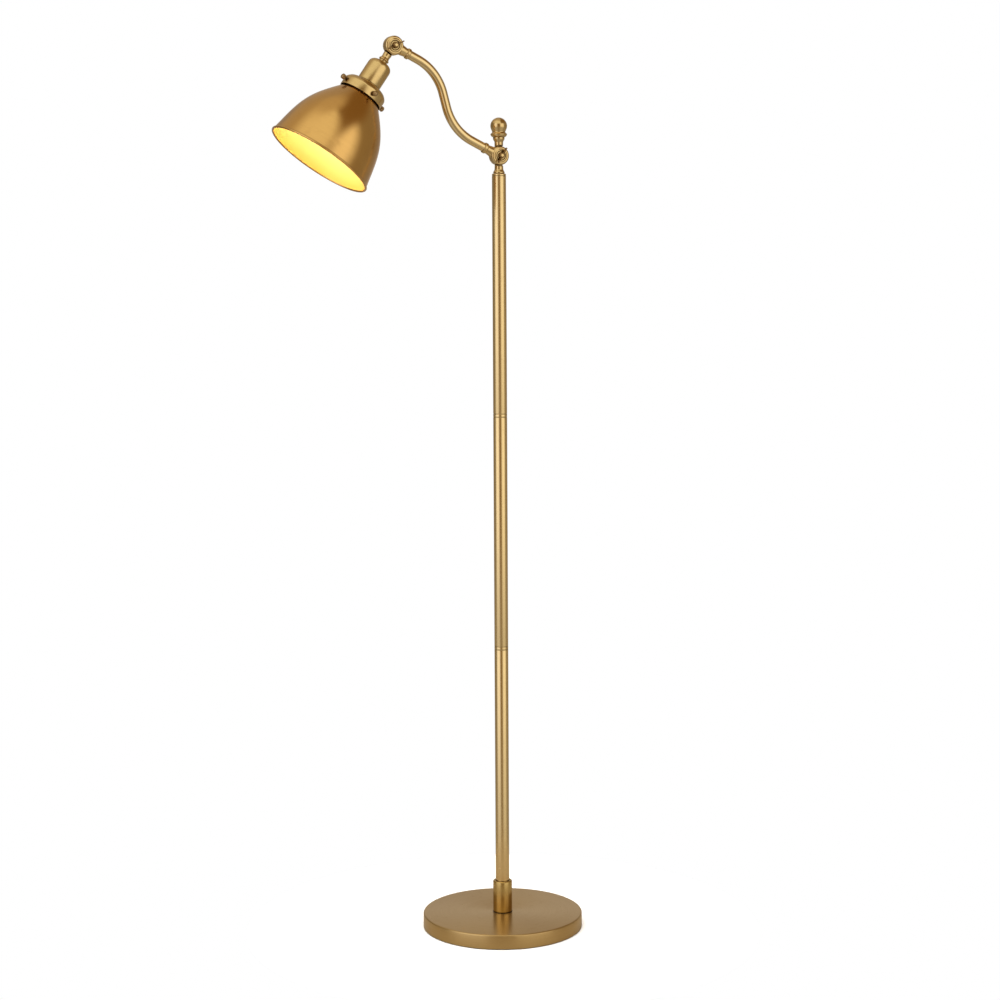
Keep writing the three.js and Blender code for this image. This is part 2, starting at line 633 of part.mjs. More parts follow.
function wingNut(angle) {
  const hub = turnedY([
    [0, -HUB_FACE - WING_HUB],
    [WING_HUB_RADIUS - 1.2, -HUB_FACE - WING_HUB],
    [WING_HUB_RADIUS, -HUB_FACE - 1],
    [WING_HUB_RADIUS, -HUB_FACE],
    [0, -HUB_FACE],
  ], SMALL);
  const options = { depth: WING_THICKNESS, bevelEnabled: false, curveSegments: 4 };
  const ear = new THREE.ExtrudeGeometry(wingOutline(), options).translate(0, 0, -WING_THICKNESS / 2);
  ear.rotateX(Math.PI).translate(0, -HUB_FACE, 0);
  const other = ear.clone().rotateY(Math.PI);
  return cut(join(hub, ear, other), screwHole()).rotateY(-angle * RADIANS);
}

// ---- Finial ----
function finial() {
  const ring = FINIAL_RING_RADIUS;
  const waist = ring * 0.76;
  const lowest = Math.asin((FINIAL_RING + 3 - FINIAL_BALL_LIFT) / FINIAL_BALL_RADIUS) / RADIANS;
  return turned([
    [0, -FINIAL_STUD],
    [STEM_THREAD_RADIUS, -FINIAL_STUD],
    [STEM_THREAD_RADIUS, 0],
    [ring - 3, 0],
    [ring, FINIAL_RING * 0.3],
    [ring, FINIAL_RING * 0.6],
    [waist, FINIAL_RING],
    ...arc(0, FINIAL_BALL_LIFT, FINIAL_BALL_RADIUS, lowest, 90, 8),
  ], MEDIUM);
}

// ---- Arm ----
const ARM_BEND = (ARM_MIDDLE_ANGLE - ARM_END_ANGLE) * RADIANS;
// Runs of the centre line from the column knuckle: length and curvature
const ARM_RUNS = [
  [ARM_LOWER_STRAIGHT, 0],
  [ARM_LOWER_BEND * ARM_BEND, 1 / ARM_LOWER_BEND],
  [ARM_MIDDLE_STRAIGHT, 0],
  [ARM_UPPER_BEND * ARM_BEND, -1 / ARM_UPPER_BEND],
  [ARM_UPPER_STRAIGHT, 0],
];
const ARM_LENGTH = ARM_RUNS.reduce((sum, [length]) => sum + length, 0);

// Point on the arm's centre line at a distance from the column knuckle
function armPoint(distance) {
  let angle = ARM_END_ANGLE * RADIANS;
  let left = distance;
  const point = new THREE.Vector3();
  for (const [length, curvature] of ARM_RUNS) {
    const run = Math.min(left, length);
    const turn = run * curvature;
    const chord = curvature === 0 ? run : 2 * Math.sin(turn / 2) / curvature;
    point.x -= chord * Math.cos(angle + turn / 2);
    point.z += chord * Math.sin(angle + turn / 2);
    angle += turn;
    left -= run;
  }
  return point;
}

class ArmCurve extends THREE.Curve {
  constructor(margin) {
    super();
    this.margin = margin;
  }

  getPoint(t) {
    return armPoint(this.margin + t * (ARM_LENGTH - 2 * this.margin));
  }
}

function alongArm(outer, inner, sides, steps, margin) {
  const section = new THREE.Shape();
  section.absarc(0, 0, outer, 0, 2 * Math.PI, false);
  if (inner > 0) {
    const bore = new THREE.Path();
    bore.absarc(0, 0, inner, 0, 2 * Math.PI, true);
    section.holes.push(bore);
  }
  const options = { steps, curveSegments: sides / 2, extrudePath: new ArmCurve(margin) };
  return new THREE.ExtrudeGeometry(section, options);
}

function buildArm(arm, headPoint) {
  const margin = SOCKET_RING_START + GAP;
  piece(arm, 'arm_knuckle_lower', armKnuckle(ARM_END_ANGLE), 'polishedBrass');
  const upper = armKnuckle(180 + ARM_END_ANGLE).translate(headPoint.x, 0, headPoint.z);
  piece(arm, 'arm_knuckle_upper', upper, 'polishedBrass');
  const tube = alongArm(ARM_TUBE_RADIUS, ARM_TUBE_RADIUS - ARM_TUBE_WALL, 14, 24, margin);
  piece(arm, 'arm_tube', tube, 'tubeBrass');
  piece(arm, 'arm_lead', alongArm(LEAD_RADIUS, 0, 6, 20, margin + 4), 'leadSheath');
}

// Loose hardware of one knuckle: washers and screw stay with the half that holds the screw
function buildHardware(group, place, wingAngle) {
  piece(group, `${place}_friction_washer`, frictionWasher(), 'fibre');
  piece(group, `${place}_knuckle_screw`, knuckleScrew(), 'polishedBrass');
  piece(group, `${place}_boss_washer`, bossWasher(), 'polishedBrass');
  piece(group, `${place}_wing_nut`, wingNut(wingAngle), 'polishedBrass');
}

// ---- Head, drawn hanging from its knuckle along -Z ----
function socketCup() {
  const bottom = CUP_TOP + CUP_LENGTH;
  const inner = CUP_RADIUS - CUP_WALL;
  const corner = CUP_TOP + CUP_SHOULDER;
  const hole = NIPPLE_RADIUS + GAP;
  return turned(closed(hanging([
    [inner, bottom],
    [CUP_RADIUS, bottom],
    ...arc(CUP_RADIUS - CUP_SHOULDER, corner, CUP_SHOULDER, 0, -90, 5),
    [hole, CUP_TOP],
    [hole, CUP_TOP + CUP_WALL],
    ...arc(CUP_RADIUS - CUP_SHOULDER, corner, CUP_SHOULDER - CUP_WALL, -90, 0, 5),
  ])), MEDIUM);
}

function lampholder() {
  const bottom = HOLDER_TOP + HOLDER_LENGTH;
  return turned(closed(hanging([
    [HOLDER_SOCKET_RADIUS, bottom],
    [HOLDER_RADIUS, bottom],
    [HOLDER_RADIUS, HOLDER_TOP],
    [NIPPLE_RADIUS + GAP, HOLDER_TOP],
    [NIPPLE_RADIUS + GAP, HOLDER_TOP + HOLDER_FLOOR],
    [HOLDER_SOCKET_RADIUS, HOLDER_TOP + HOLDER_FLOOR],
  ])), MEDIUM);
}

function fitter() {
  const wall = FITTER_WALL;
  const hole = HOLDER_RADIUS + 2 * GAP;
  const coneEnd = FITTER_TOP + FITTER_CONE;
  const bend = FITTER_BEND;
  const shoulder = (radius, steps, from, to, size) => arc(0, 0, 1, from, to, steps)
    .map(([r, h]) => [radius + r * size, BAND_TOP + h * (FITTER_SHOULDER - (bend - size))]);
  const shell = turned(closed(hanging([
    [FITTER_RADIUS - wall, FITTER_FOOT],
    [FITTER_RADIUS, FITTER_FOOT],
    ...shoulder(FITTER_CONE_RADIUS, 4, 0, -90, bend),
    [CUP_RADIUS + 0.6, FITTER_TOP],
    [hole, FITTER_TOP],
    [hole, FITTER_TOP + wall],
    [CUP_RADIUS + 0.6, FITTER_TOP + wall],
    [FITTER_CONE_RADIUS, coneEnd + wall],
    ...shoulder(FITTER_CONE_RADIUS, 4, -80, 0, bend - wall),
  ])), LARGE);
  const holes = thumbScrewAngles().map((angle) => {
    const reach = 2 * THUMB_HEAD_RADIUS;
    const radius = THUMB_SHANK_RADIUS + GAP;
    return placedThumb(rod(radius, FITTER_RADIUS - reach, FITTER_RADIUS + reach, SMALL), angle);
  });
  return cut(shell, ...holes);
}

// Angles of the thumb screws about the shade's axis, from the front
function thumbScrewAngles() {
  return Array.from({ length: THUMB_SCREWS }, (_, i) => THUMB_SCREW_TURN + i * 360 / THUMB_SCREWS);
}

// Turns a piece drawn along +Z into a radial one at the thumb screws' level
function placedThumb(geometry, angle) {
  geometry.rotateX(Math.PI / 2);
  geometry.rotateZ(angle * RADIANS);
  return geometry.translate(0, 0, -THUMB_SCREW_LEVEL);
}

function thumbScrew(angle) {
  const tip = SHADE_NECK_RADIUS + GAP;
  const head = FITTER_RADIUS + THUMB_HEAD_GAP;
  const end = head + THUMB_HEAD;
  return placedThumb(turned([
    [0, tip],
    [THUMB_SHANK_RADIUS, tip],
    [THUMB_SHANK_RADIUS, head],
    [THUMB_HEAD_RADIUS - 1, head],
    [THUMB_HEAD_RADIUS, head + 1],
    [THUMB_HEAD_RADIUS, end - 1.4],
    [THUMB_HEAD_RADIUS - 1.6, end],
    [0, end],
  ], SMALL), angle);
}

// The dome's outline, offset inwards by a wall
function domeOutline(inset) {
  const top = SHADE_TOP_SLOPE * RADIANS;
  const rim = SHADE_RIM_SLOPE * RADIANS;
  const rise = SHADE_WIDE_RADIUS - SHADE_TOP_RADIUS;
  const sine = Math.sin(top - rim);
  const upper = (rise * Math.cos(rim) - SHADE_DOME * Math.sin(rim)) / sine;
  const lower = (SHADE_DOME * Math.sin(top) - rise * Math.cos(top)) / sine;
  const curve = new THREE.CubicBezierCurve(
    new THREE.Vector2(SHADE_TOP_RADIUS, SHADE_TOP),
    new THREE.Vector2(
      SHADE_TOP_RADIUS + SHADE_FULLNESS * upper * Math.sin(top),
      SHADE_TOP + SHADE_FULLNESS * upper * Math.cos(top),
    ),
    new THREE.Vector2(
      SHADE_WIDE_RADIUS - SHADE_FULLNESS * lower * Math.sin(rim),
      SHADE_TOP + SHADE_DOME - SHADE_FULLNESS * lower * Math.cos(rim),
    ),
    new THREE.Vector2(SHADE_WIDE_RADIUS, SHADE_TOP + SHADE_DOME),
  );
  return Array.from({ length: DOME_STEPS + 1 }, (_, i) => {
    const point = curve.getPoint(i / DOME_STEPS);
    const along = curve.getTangent(i / DOME_STEPS);
    return [point.x - inset * along.y, point.y + inset * along.x];
  });
}

function shade() {
  const wall = SHADE_WALL;
  const neck = SHADE_NECK_RADIUS;
  const neckTop = SHADE_TOP - SHADE_NECK;
  const flareEnd = SHADE_TOP + SHADE_DOME + SHADE_FLARE;
  const bead = SHADE_BEAD_RADIUS;
  return turned(closed(hanging([
    ...arc(SHADE_RIM_RADIUS, flareEnd + bead, bead, 180, -90, 5),
    ...domeOutline(0).reverse(),
    [neck, SHADE_TOP - wall / 2],
    [neck, neckTop + wall],
    [SHADE_LIP_RADIUS, neckTop + wall],
    [SHADE_LIP_RADIUS, neckTop],
    [neck - wall, neckTop],
    [neck - wall, SHADE_TOP - wall / 2],
    ...domeOutline(wall),
  ])), LARGE);
}

// ---- Bulb ----
function bulbCap() {
  const bottom = BULB_CAP_TOP + BULB_CAP_LENGTH;
  return turned(hanging([
    [0, bottom],
    [BULB_CAP_RADIUS, bottom],
    [BULB_CAP_RADIUS, BULB_CAP_TOP + 7],
    [CONTACT_RADIUS, BULB_CAP_TOP + 1],
    [CONTACT_RADIUS - 1, BULB_CAP_TOP],
    [0, BULB_CAP_TOP],
  ]), MEDIUM);
}

function bulbGlass() {
  const centre = GLASS_TOP + BULB_LENGTH - BULB_RADIUS;
  const neck = BULB_CAP_RADIUS;
  const outline = (inset) => [
    ...arc(0, centre, BULB_RADIUS - inset, 90, -35, 9),
    [neck + 5 - inset, GLASS_TOP + 22],
    [neck + 0.5 - inset, GLASS_TOP + 9],
  ];
  const outer = [...outline(0), [neck, GLASS_TOP]];
  const inner = [[neck - BULB_WALL, GLASS_TOP], ...outline(BULB_WALL).reverse()];
  return turned(hanging([...outer, ...inner]), MEDIUM);
}

function buildHead(head) {
  const holderFloor = HOLDER_TOP + HOLDER_FLOOR;
  const nippleTop = NECK_LENGTH - NIPPLE_SEAT + 1;
  const nutTop = CUP_TOP + CUP_WALL + GAP;
  const ringTop = FITTER_TOP + FITTER_WALL + FITTER_CONE + GAP;
  const shellTop = CONTACT_LEVEL + CONTACT_THICKNESS;
  const down = (outer, inner, from, to, segments) => pipe(outer, inner, -to, -from, segments);
  piece(head, 'head_knuckle', headKnuckle(), 'polishedBrass');
  const nipple = down(NIPPLE_RADIUS, NIPPLE_BORE_RADIUS, nippleTop, nippleTop + NIPPLE_LENGTH, SMALL);
  piece(head, 'cup_nipple', nipple, 'zincSteel');
  piece(head, 'socket_cup', socketCup(), 'satinBrass');
  const nut = hexNut(CUP_NUT_FLATS, NIPPLE_RADIUS + GAP, -nutTop - CUP_NUT_HEIGHT, -nutTop);
  piece(head, 'cup_nut', nut, 'zincSteel');
  piece(head, 'lampholder', lampholder(), 'porcelain');
  const shell = down(SHELL_RADIUS, SHELL_RADIUS - SHELL_WALL, shellTop, shellTop + SHELL_LENGTH, MEDIUM);
  piece(head, 'screw_shell', shell, 'polishedBrass');
  const contact = rod(CONTACT_RADIUS, -CONTACT_LEVEL - CONTACT_THICKNESS, -holderFloor - GAP, SMALL);
  piece(head, 'centre_contact', contact, 'polishedBrass');
  piece(head, 'fitter', fitter(), 'satinBrass');
  const ring = down(RING_NUT_RADIUS, HOLDER_RADIUS + GAP, ringTop, ringTop + RING_NUT_HEIGHT, MEDIUM);
  piece(head, 'fitter_ring_nut', ring, 'satinBrass');
  thumbScrewAngles().forEach((angle, i) => {
    piece(head, `thumb_screw_${i + 1}`, thumbScrew(angle), 'agedBrass');
  });
  piece(head, 'shade', shade(), 'agedBrass');
  piece(head, 'bulb_cap', bulbCap(), 'nickel');
  piece(head, 'bulb_glass', bulbGlass(), 'frostedGlass');
}

// ---- Assembly ----
function buildLamp() {
  const lamp = new THREE.Group();
  const stand = new THREE.Group();
  const column = new THREE.Group();
  const arm = new THREE.Group();
  const head = new THREE.Group();
  const headPoint = armPoint(ARM_LENGTH);
  buildBase(stand);
  buildColumn(stand);
  piece(column, 'stem_knuckle', stemKnuckle(), 'polishedBrass');
  const top = finial();
  top.translate(0, 0, STEM_RISE + GAP);
  piece(column, 'finial', top, 'polishedBrass');
  buildHardware(column, 'lower', LOWER_WING_ANGLE);
  buildArm(arm, headPoint);
  buildHead(head);
  const upperHardware = new THREE.Group();
  buildHardware(upperHardware, 'upper', UPPER_WING_ANGLE);
  column.position.set(0, 0, KNUCKLE_HEIGHT);
  arm.position.copy(column.position);
  head.position.copy(column.position).add(headPoint);
  head.rotation.y = HEAD_TILT * RADIANS;
  upperHardware.position.copy(head.position);
  lamp.add(stand, column, arm, head, upperHardware);
  return lamp;
}

export default buildLamp();
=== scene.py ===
"""Pharmacy floor lamp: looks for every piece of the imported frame, laid out as a Blender add-on and run as a script.

The base's underside is at the origin, +Z is up, the arm reaches along -X and the wing nuts face -Y. Shapes are
drawn in millimetres, most of them as (radius, height) corners that are spun, and add_piece() brings them to metres.
"""
import json
import math
from types import SimpleNamespace

import bmesh
import bpy
from bpy.props import FloatProperty, FloatVectorProperty, IntProperty, PointerProperty
from mathutils import Matrix, Vector
from mathutils.geometry import interpolate_bezier

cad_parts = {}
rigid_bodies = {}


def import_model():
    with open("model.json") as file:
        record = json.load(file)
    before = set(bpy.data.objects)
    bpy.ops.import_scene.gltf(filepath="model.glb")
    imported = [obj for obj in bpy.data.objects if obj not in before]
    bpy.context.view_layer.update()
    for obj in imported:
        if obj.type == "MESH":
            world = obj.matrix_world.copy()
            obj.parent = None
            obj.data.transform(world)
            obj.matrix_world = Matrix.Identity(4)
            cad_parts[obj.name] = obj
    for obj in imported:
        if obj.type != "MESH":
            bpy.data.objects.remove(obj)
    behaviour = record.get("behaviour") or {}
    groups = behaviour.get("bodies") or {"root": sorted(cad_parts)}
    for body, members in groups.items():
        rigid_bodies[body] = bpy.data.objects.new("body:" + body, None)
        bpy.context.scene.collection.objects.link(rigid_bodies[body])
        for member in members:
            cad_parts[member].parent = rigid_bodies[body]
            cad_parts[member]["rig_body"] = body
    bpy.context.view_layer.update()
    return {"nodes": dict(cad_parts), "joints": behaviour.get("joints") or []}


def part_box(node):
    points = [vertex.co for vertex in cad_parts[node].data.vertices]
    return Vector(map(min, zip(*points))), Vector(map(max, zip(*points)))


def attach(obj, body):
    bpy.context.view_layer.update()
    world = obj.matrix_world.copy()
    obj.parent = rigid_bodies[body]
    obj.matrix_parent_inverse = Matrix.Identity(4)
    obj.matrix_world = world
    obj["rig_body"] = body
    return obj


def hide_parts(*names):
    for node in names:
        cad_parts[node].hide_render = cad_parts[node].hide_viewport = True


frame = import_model()

bl_info = {
    "name": "Pharmacy Floor Lamp",
    "version": (1, 0, 0),
    "blender": (4, 5, 0),
    "location": "View3D > Sidebar > Floor Lamp",
    "description": "Builds the brass floor lamp around its CAD frame",
    "category": "Object",
}

# ---- Read from the frame ----
MM = 0.001
NODES = frame["nodes"]
HINGES = {joint["name"]: joint for joint in frame["joints"]}
STEM_POINT = Vector(HINGES["arm_tilt"]["pos_m"])
HEAD_POINT = Vector(HINGES["head_tilt"]["pos_m"])
SCREW_AXES = [Vector(HINGES[f"thumb_screw_{number}_turn"]["axis"]) for number in (1, 2, 3, 4)]
SCREW_POINTS = [Vector(HINGES[f"thumb_screw_{number}_turn"]["pos_m"]) for number in (1, 2, 3, 4)]
SHADE_AXIS = SCREW_AXES[0].cross(SCREW_AXES[1]).normalized()
HEAD_TILT = math.atan2(SHADE_AXIS.x, SHADE_AXIS.z)

UPRIGHT = Matrix.Identity(4)
STEM_PLACE = Matrix.Translation(STEM_POINT)
UPPER_HINGE_PLACE = Matrix.Translation(HEAD_POINT)
HEAD_PLACE = UPPER_HINGE_PLACE @ Matrix.Rotation(HEAD_TILT, 4, "Y")
TO_HINGE = Matrix.Rotation(-math.pi / 2, 4, "X")    # turned about Z -> turned about the hinge
TO_FRONT = Matrix.Rotation(math.pi / 2, 4, "X")     # drawn upwards -> drawn towards the front
TO_SIDE = Matrix.Rotation(math.pi / 2, 4, "Y")      # drawn upwards -> drawn towards +X

# ---- Fineness ----
FULL_TURN = 2 * math.pi
LARGE = 192         # sides of the base and the shade
ROUND = 96          # sides of tubes and knuckles
SMALL = 48          # sides of screws and washers
ROUNDING_STEPS = 5
DOME_POINTS = 40
WELD = 0.002
SHARP_ANGLE = math.radians(32)
GAP = 0.3           # clearance between pieces that touch
LAP = 0.15          # how far joined shapes reach into each other
LEAST_GAIN = 1.001  # a union must outgrow the larger of its two parts by this much

# ---- Sizes that several pieces share, in millimetres ----
ARM_RADIUS = 7.6
ARM_SLOPE = 26              # slope of both ends, degrees
ARM_MIDDLE_SLOPE = 75
ARM_START = 26.3            # from the lower knuckle
ARM_RUNS = (("straight", 56 - ARM_START), ("bend", 85), ("straight", 24), ("bend", -85),
            ("straight", 48 - ARM_START))
BEND_STEPS = 28
WIRE_BORE = 2.4
STEM_THREAD = 4             # radius of the threads at both ends of the stem
GLAND_LIP = 1.4             # the gland's flange stands out this far from its body
SCREW_HEAD_LIP = 2.5        # a thumb screw's head stands out this far from its shank
HOLE_REACH = 40             # long enough to pass right through a wing nut
WING_ANGLES = {"lower": 59, "upper": 27}    # how the wing nuts were left when tightened, degrees
SOCKET_SECTIONS = (         # distance from the hinge, half width, half depth
    (4, 15.2, 8.6), (7, 13.8, 8.6), (10, 12.0, 8.6), (12.5, 10.3, 8.6), (14.6, 9.2, 8.6), (17, 8.75, 8.5),
    (19.5, 8.3, 8.2), (22, 7.9, 7.9), (24, 7.7, 7.7), (25.4, 7.65, 7.65),
)
SOCKET_END = 31.4
SHADE_NECK = 33.8
SHADE_NECK_LENGTH = 12.5
SHADE_WIDEST = 87.8
SHADE_FLARE = 9             # straight flare between the dome and the rolled rim
DOME_START_SLOPE = math.radians(40)
DOME_END_SLOPE = math.radians(9.5)

# ---- Camera and studio ----
CAMERA_HEADING = math.radians(23.2)
CAMERA_PITCH = math.radians(-6.402955)
CAMERA_ROLL = math.radians(0.295)
CAMERA_DISTANCE = 3.680225  # metres, from the lamp's axis
CAMERA_HEIGHT = 1.170255
CAMERA_SHIFT = 0.00103
CAMERA_LENS = 76.99
FLOOR_RADIUS = 0.45
STUDIO_STRENGTH = 1.25


# ---- Sizes and colours a user would change ----
def length(name, description, millimetres):
    return FloatProperty(name=name, description=description, default=millimetres * MM, min=0, unit="LENGTH")


def colour(name, description, default):
    return FloatVectorProperty(name=name, description=description, default=default, min=0, max=1, subtype="COLOR")


class LampBaseSizes(bpy.types.PropertyGroup):
    """Base, collar and column."""
    cover_wall: length("Cover wall", "Thickness of the base cover", 1.2)
    cover_edge: length("Base edge", "Rounding of the base's top edge", 2.5)
    collar_edge: length("Collar edge", "Rounding of the collar's top edge", 2.2)
    tube_wall: length("Tube wall", "Wall of the column tubes", 1.2)
    tube_edge: length("Tube edge", "Rounding at the ends of each tube", 0.7)
    cap_edge: length("Cap edge", "Rounding of the column's top edge", 2.0)


class LampKnuckleSizes(bpy.types.PropertyGroup):
    """Both tilting knuckles, their screws and the finial."""
    radius: length("Knuckle radius", "Radius of both halves of a knuckle", 16)
    half: length("Half thickness", "Thickness of one half of a knuckle", 8.2)
    face: length("Mating face", "From the middle of a knuckle to a half's mating face", 0.8)
    edge: length("Edge rounding", "Rounding of a knuckle's outer edge", 3.5)
    relief: length("Relief", "Clearance round a knuckle's edge", 2.2)
    ring: length("Ring height", "Height of the raised ring on the front half", 1.2)
    ring_foot: length("Ring foot", "Radius of the ring's foot", 11.6)
    recess: length("Recess radius", "Radius of the recess for the wing nut", 8.5)
    recess_depth: length("Recess depth", "Depth of the recess below the ring's crest", 1.7)
    screw: length("Screw radius", "Radius of the knuckle screws", 3.0)
    ear_thickness: length("Wing thickness", "Thickness of a wing nut's ears", 2.0)


class LampHeadSizes(bpy.types.PropertyGroup):
    """Arm, cup, fitter and shade."""
    arm_wall: length("Arm wall", "Wall of the arm tube", 1.2)
    cup_shoulder: length("Cup shoulder", "Rounding of the cup's shoulder", 10.3)
    sheet: length("Sheet", "Thickness of the cup and the fitter", 1.2)
    shade_wall: length("Shade wall", "Thickness of the shade", 1.0)
    bead: length("Rim bead", "Radius of the rolled rim", 2.0)
    fullness: FloatProperty(name="Dome fullness", description="How far the dome fills its corner",
                            default=0.87, min=0, max=1, subtype="FACTOR")
    knurls: IntProperty(name="Knurls", description="Ribs round a thumb screw's head", default=22, min=8, max=60)


class LampFinishes(bpy.types.PropertyGroup):
    """Colours of the finishes."""
    base_brass: colour("Base brass", "Satin brass of the base", (0.64, 0.46, 0.22))
    tube_brass: colour("Tube brass", "Satin brass of the tubes", (0.80, 0.61, 0.32))
    satin_brass: colour("Satin brass", "Satin brass of the cup and the fitter", (0.72, 0.53, 0.25))
    polished_brass: colour("Polished brass", "Semi-polished brass of the knuckles", (0.72, 0.53, 0.26))
    shade_brass: colour("Shade brass", "Coppery brass of the shade's outside", (0.75, 0.465, 0.165))
    lining: colour("Lining", "Pale gold inside the shade", (0.98, 0.80, 0.44))
    dark_brass: colour("Dark brass", "Darkened brass of the small screws", (0.40, 0.27, 0.14))


class LampStudio(bpy.types.PropertyGroup):
    """Light and floor."""
    floor: colour("Floor", "Pale floor", (0.90, 0.90, 0.90))
    left_light: colour("Left light", "Soft light on the left", (1.0, 0.98, 0.99))
    right_light: colour("Right light", "Soft light on the right", (0.95, 0.90, 0.78))
    shadow_card: colour("Shadow card", "Warm dark card beside the camera", (0.21, 0.135, 0.055))
    glow: FloatProperty(name="Bulb glow", description="Brightness of the bulb's glass", default=9, min=0)


SETTINGS = {
    "lamp_base": LampBaseSizes,
    "lamp_knuckle": LampKnuckleSizes,
    "lamp_head": LampHeadSizes,
    "lamp_finishes": LampFinishes,
    "lamp_studio": LampStudio,
}


def in_mm(group):
    """A group's lengths in millimetres."""
    lengths = [item for item in group.bl_rna.properties if item.type == "FLOAT" and item.unit == "LENGTH"]
    return SimpleNamespace(**{item.identifier: getattr(group, item.identifier) / MM for item in lengths})


def span(node, place=UPRIGHT):
    """A CAD node's lowest and highest point along a place's Z axis, and its radius about it, in millimetres."""
    back = place.inverted()
    points = [back @ vert.co / MM for vert in NODES[node].data.vertices]
    heights = [point.z for point in points]
    return min(heights), max(heights), max(math.hypot(point.x, point.y) for point in points)


# ---- Drawing shapes, in millimetres ----
def wire(bm, corners, closed):
    """A chain of edges through (radius, height) corners; a third number rounds a corner."""
    chain = [bm.verts.new((corner[0], 0, corner[1])) for corner in corners]
    ends = chain[1:] + chain[:1] if closed else chain[1:]
    for start, end in zip(chain, ends):
        bm.edges.new((start, end))
    for vert, corner in zip(chain, corners):
        if len(corner) > 2:
            bmesh.ops.bevel(bm, geom=[vert], offset=corner[2], offset_type="OFFSET", segments=ROUNDING_STEPS,
                            profile=0.5, affect="VERTICES", material=-1, clamp_overlap=True)


def tidy(bm):
    """Closes seams and poles, then points every face outwards."""
    bmesh.ops.remove_doubles(bm, verts=bm.verts, dist=WELD)
    bmesh.ops.recalc_face_normals(bm, faces=bm.faces)
    return bm


def moved(bm, matrix):
    bmesh.ops.transform(bm, matrix=matrix, verts=bm.verts)
    return bm


def turned(corners, segments=ROUND, closed=False):
    """A shape spun about Z from its outline; an open outline starts and ends on the axis."""
    bm = bmesh.new()
    wire(bm, corners, closed)
    bmesh.ops.spin(bm, geom=bm.verts[:] + bm.edges[:], cent=(0, 0, 0), axis=(0, 0, 1), angle=FULL_TURN,
                   steps=segments, use_merge=True)
    return tidy(bm)


def hinged(corners, segments=ROUND, closed=False):
    """A shape turned about the hinge, from (radius, Y) corners."""
    return moved(turned(corners, segments, closed), TO_HINGE)


def pipe(outer, inner, low, high, edge=0.2, segments=ROUND):
    return turned([(inner, low), (outer, low, edge), (outer, high, edge), (inner, high)], segments, closed=True)


def rod(radius, low, high, segments=SMALL):
    return turned([(0, low), (radius, low), (radius, high), (0, high)], segments)


def arc(centre_radius, centre_height, size, start, end, steps=8):
    """Corners along an arc, with angles in degrees from the radius direction."""
    angles = [math.radians(start + (end - start) * step / steps) for step in range(steps + 1)]
    return [(centre_radius + size * math.cos(angle), centre_height + size * math.sin(angle)) for angle in angles]


def hanging(corners):
    """Corners measured downwards from the head's knuckle."""
    return [(corner[0], -corner[1], *corner[2:]) for corner in corners]


def softened(bm, offset, segments=2, least=50):
    """Rounds every edge sharper than an angle in degrees."""
    sharp = [edge for edge in bm.edges if edge.calc_face_angle(0) > math.radians(least)]
    bmesh.ops.bevel(bm, geom=sharp, offset=offset, offset_type="OFFSET", segments=segments, profile=0.5,
                    affect="EDGES", material=-1, clamp_overlap=True)
    return bm


def plate(corners, thickness):
    """A flat plate from an outline of (x, z) corners, centred on the XZ plane."""
    bm = bmesh.new()
    wire(bm, corners, closed=True)
    bmesh.ops.contextual_create(bm, geom=bm.edges[:])
    risen = bmesh.ops.extrude_face_region(bm, geom=bm.faces[:], use_keep_orig=True)["geom"]
    front = [item for item in risen if isinstance(item, bmesh.types.BMVert)]
    bmesh.ops.translate(bm, vec=(0, thickness, 0), verts=front)
    bmesh.ops.translate(bm, vec=(0, -thickness / 2, 0), verts=bm.verts)
    return tidy(bm)


def scratch_object(bm):
    mesh = bpy.data.meshes.new("scratch")
    bm.to_mesh(mesh)
    bm.free()
    made = bpy.data.objects.new("scratch", mesh)
    bpy.context.scene.collection.objects.link(made)
    return made


def combined(bm, tool, operation):
    """Joins two closed shapes (UNION) or cuts the second from the first (DIFFERENCE)."""
    volumes = (bm.calc_volume(), tool.calc_volume())
    body = scratch_object(bm)
    cutter = scratch_object(tool)
    boolean = body.modifiers.new("boolean", "BOOLEAN")
    boolean.solver = "EXACT"
    boolean.operation = operation
    boolean.object = cutter
    shaped = body.evaluated_get(bpy.context.evaluated_depsgraph_get())
    result = bmesh.new()
    result.from_mesh(shaped.to_mesh())
    shaped.to_mesh_clear()
    for made in (body, cutter):
        mesh = made.data
        bpy.data.objects.remove(made)
        bpy.data.meshes.remove(mesh)
    tidy(result)
    whole = result.calc_volume()
    if operation == "UNION":
        sound = LEAST_GAIN * max(volumes) < whole < sum(volumes)
    else:
        sound = 0 < whole < volumes[0]
    if not sound or any(not edge.is_manifold for edge in result.edges):
        raise RuntimeError(f"{operation} left {whole:.1f} of {volumes[0]:.1f} and {volumes[1]:.1f} cubic mm")
    return result


def joined(first, *others):
    for other in others:
        first = combined(first, other, "UNION")
    return first


def cut(first, *tools):
    for tool in tools:
        first = combined(first, tool, "DIFFERENCE")
    return first


def add_piece(bm, node, materials, place=UPRIGHT):
    """Makes the visible piece that stands for a CAD node and moves with its body."""
    moved(bm, place @ Matrix.Scale(MM, 4))
    mesh = bpy.data.meshes.new(node + "_fine")
    bm.to_mesh(mesh)
    bm.free()
    mesh.shade_smooth()
    mesh.set_sharp_from_angle(angle=SHARP_ANGLE)
    piece = bpy.data.objects.new(node + "_fine", mesh)
    bpy.context.scene.collection.objects.link(piece)
    for material in materials:
        mesh.materials.append(material)
    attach(piece, NODES[node]["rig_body"])
    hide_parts(node)
    return piece


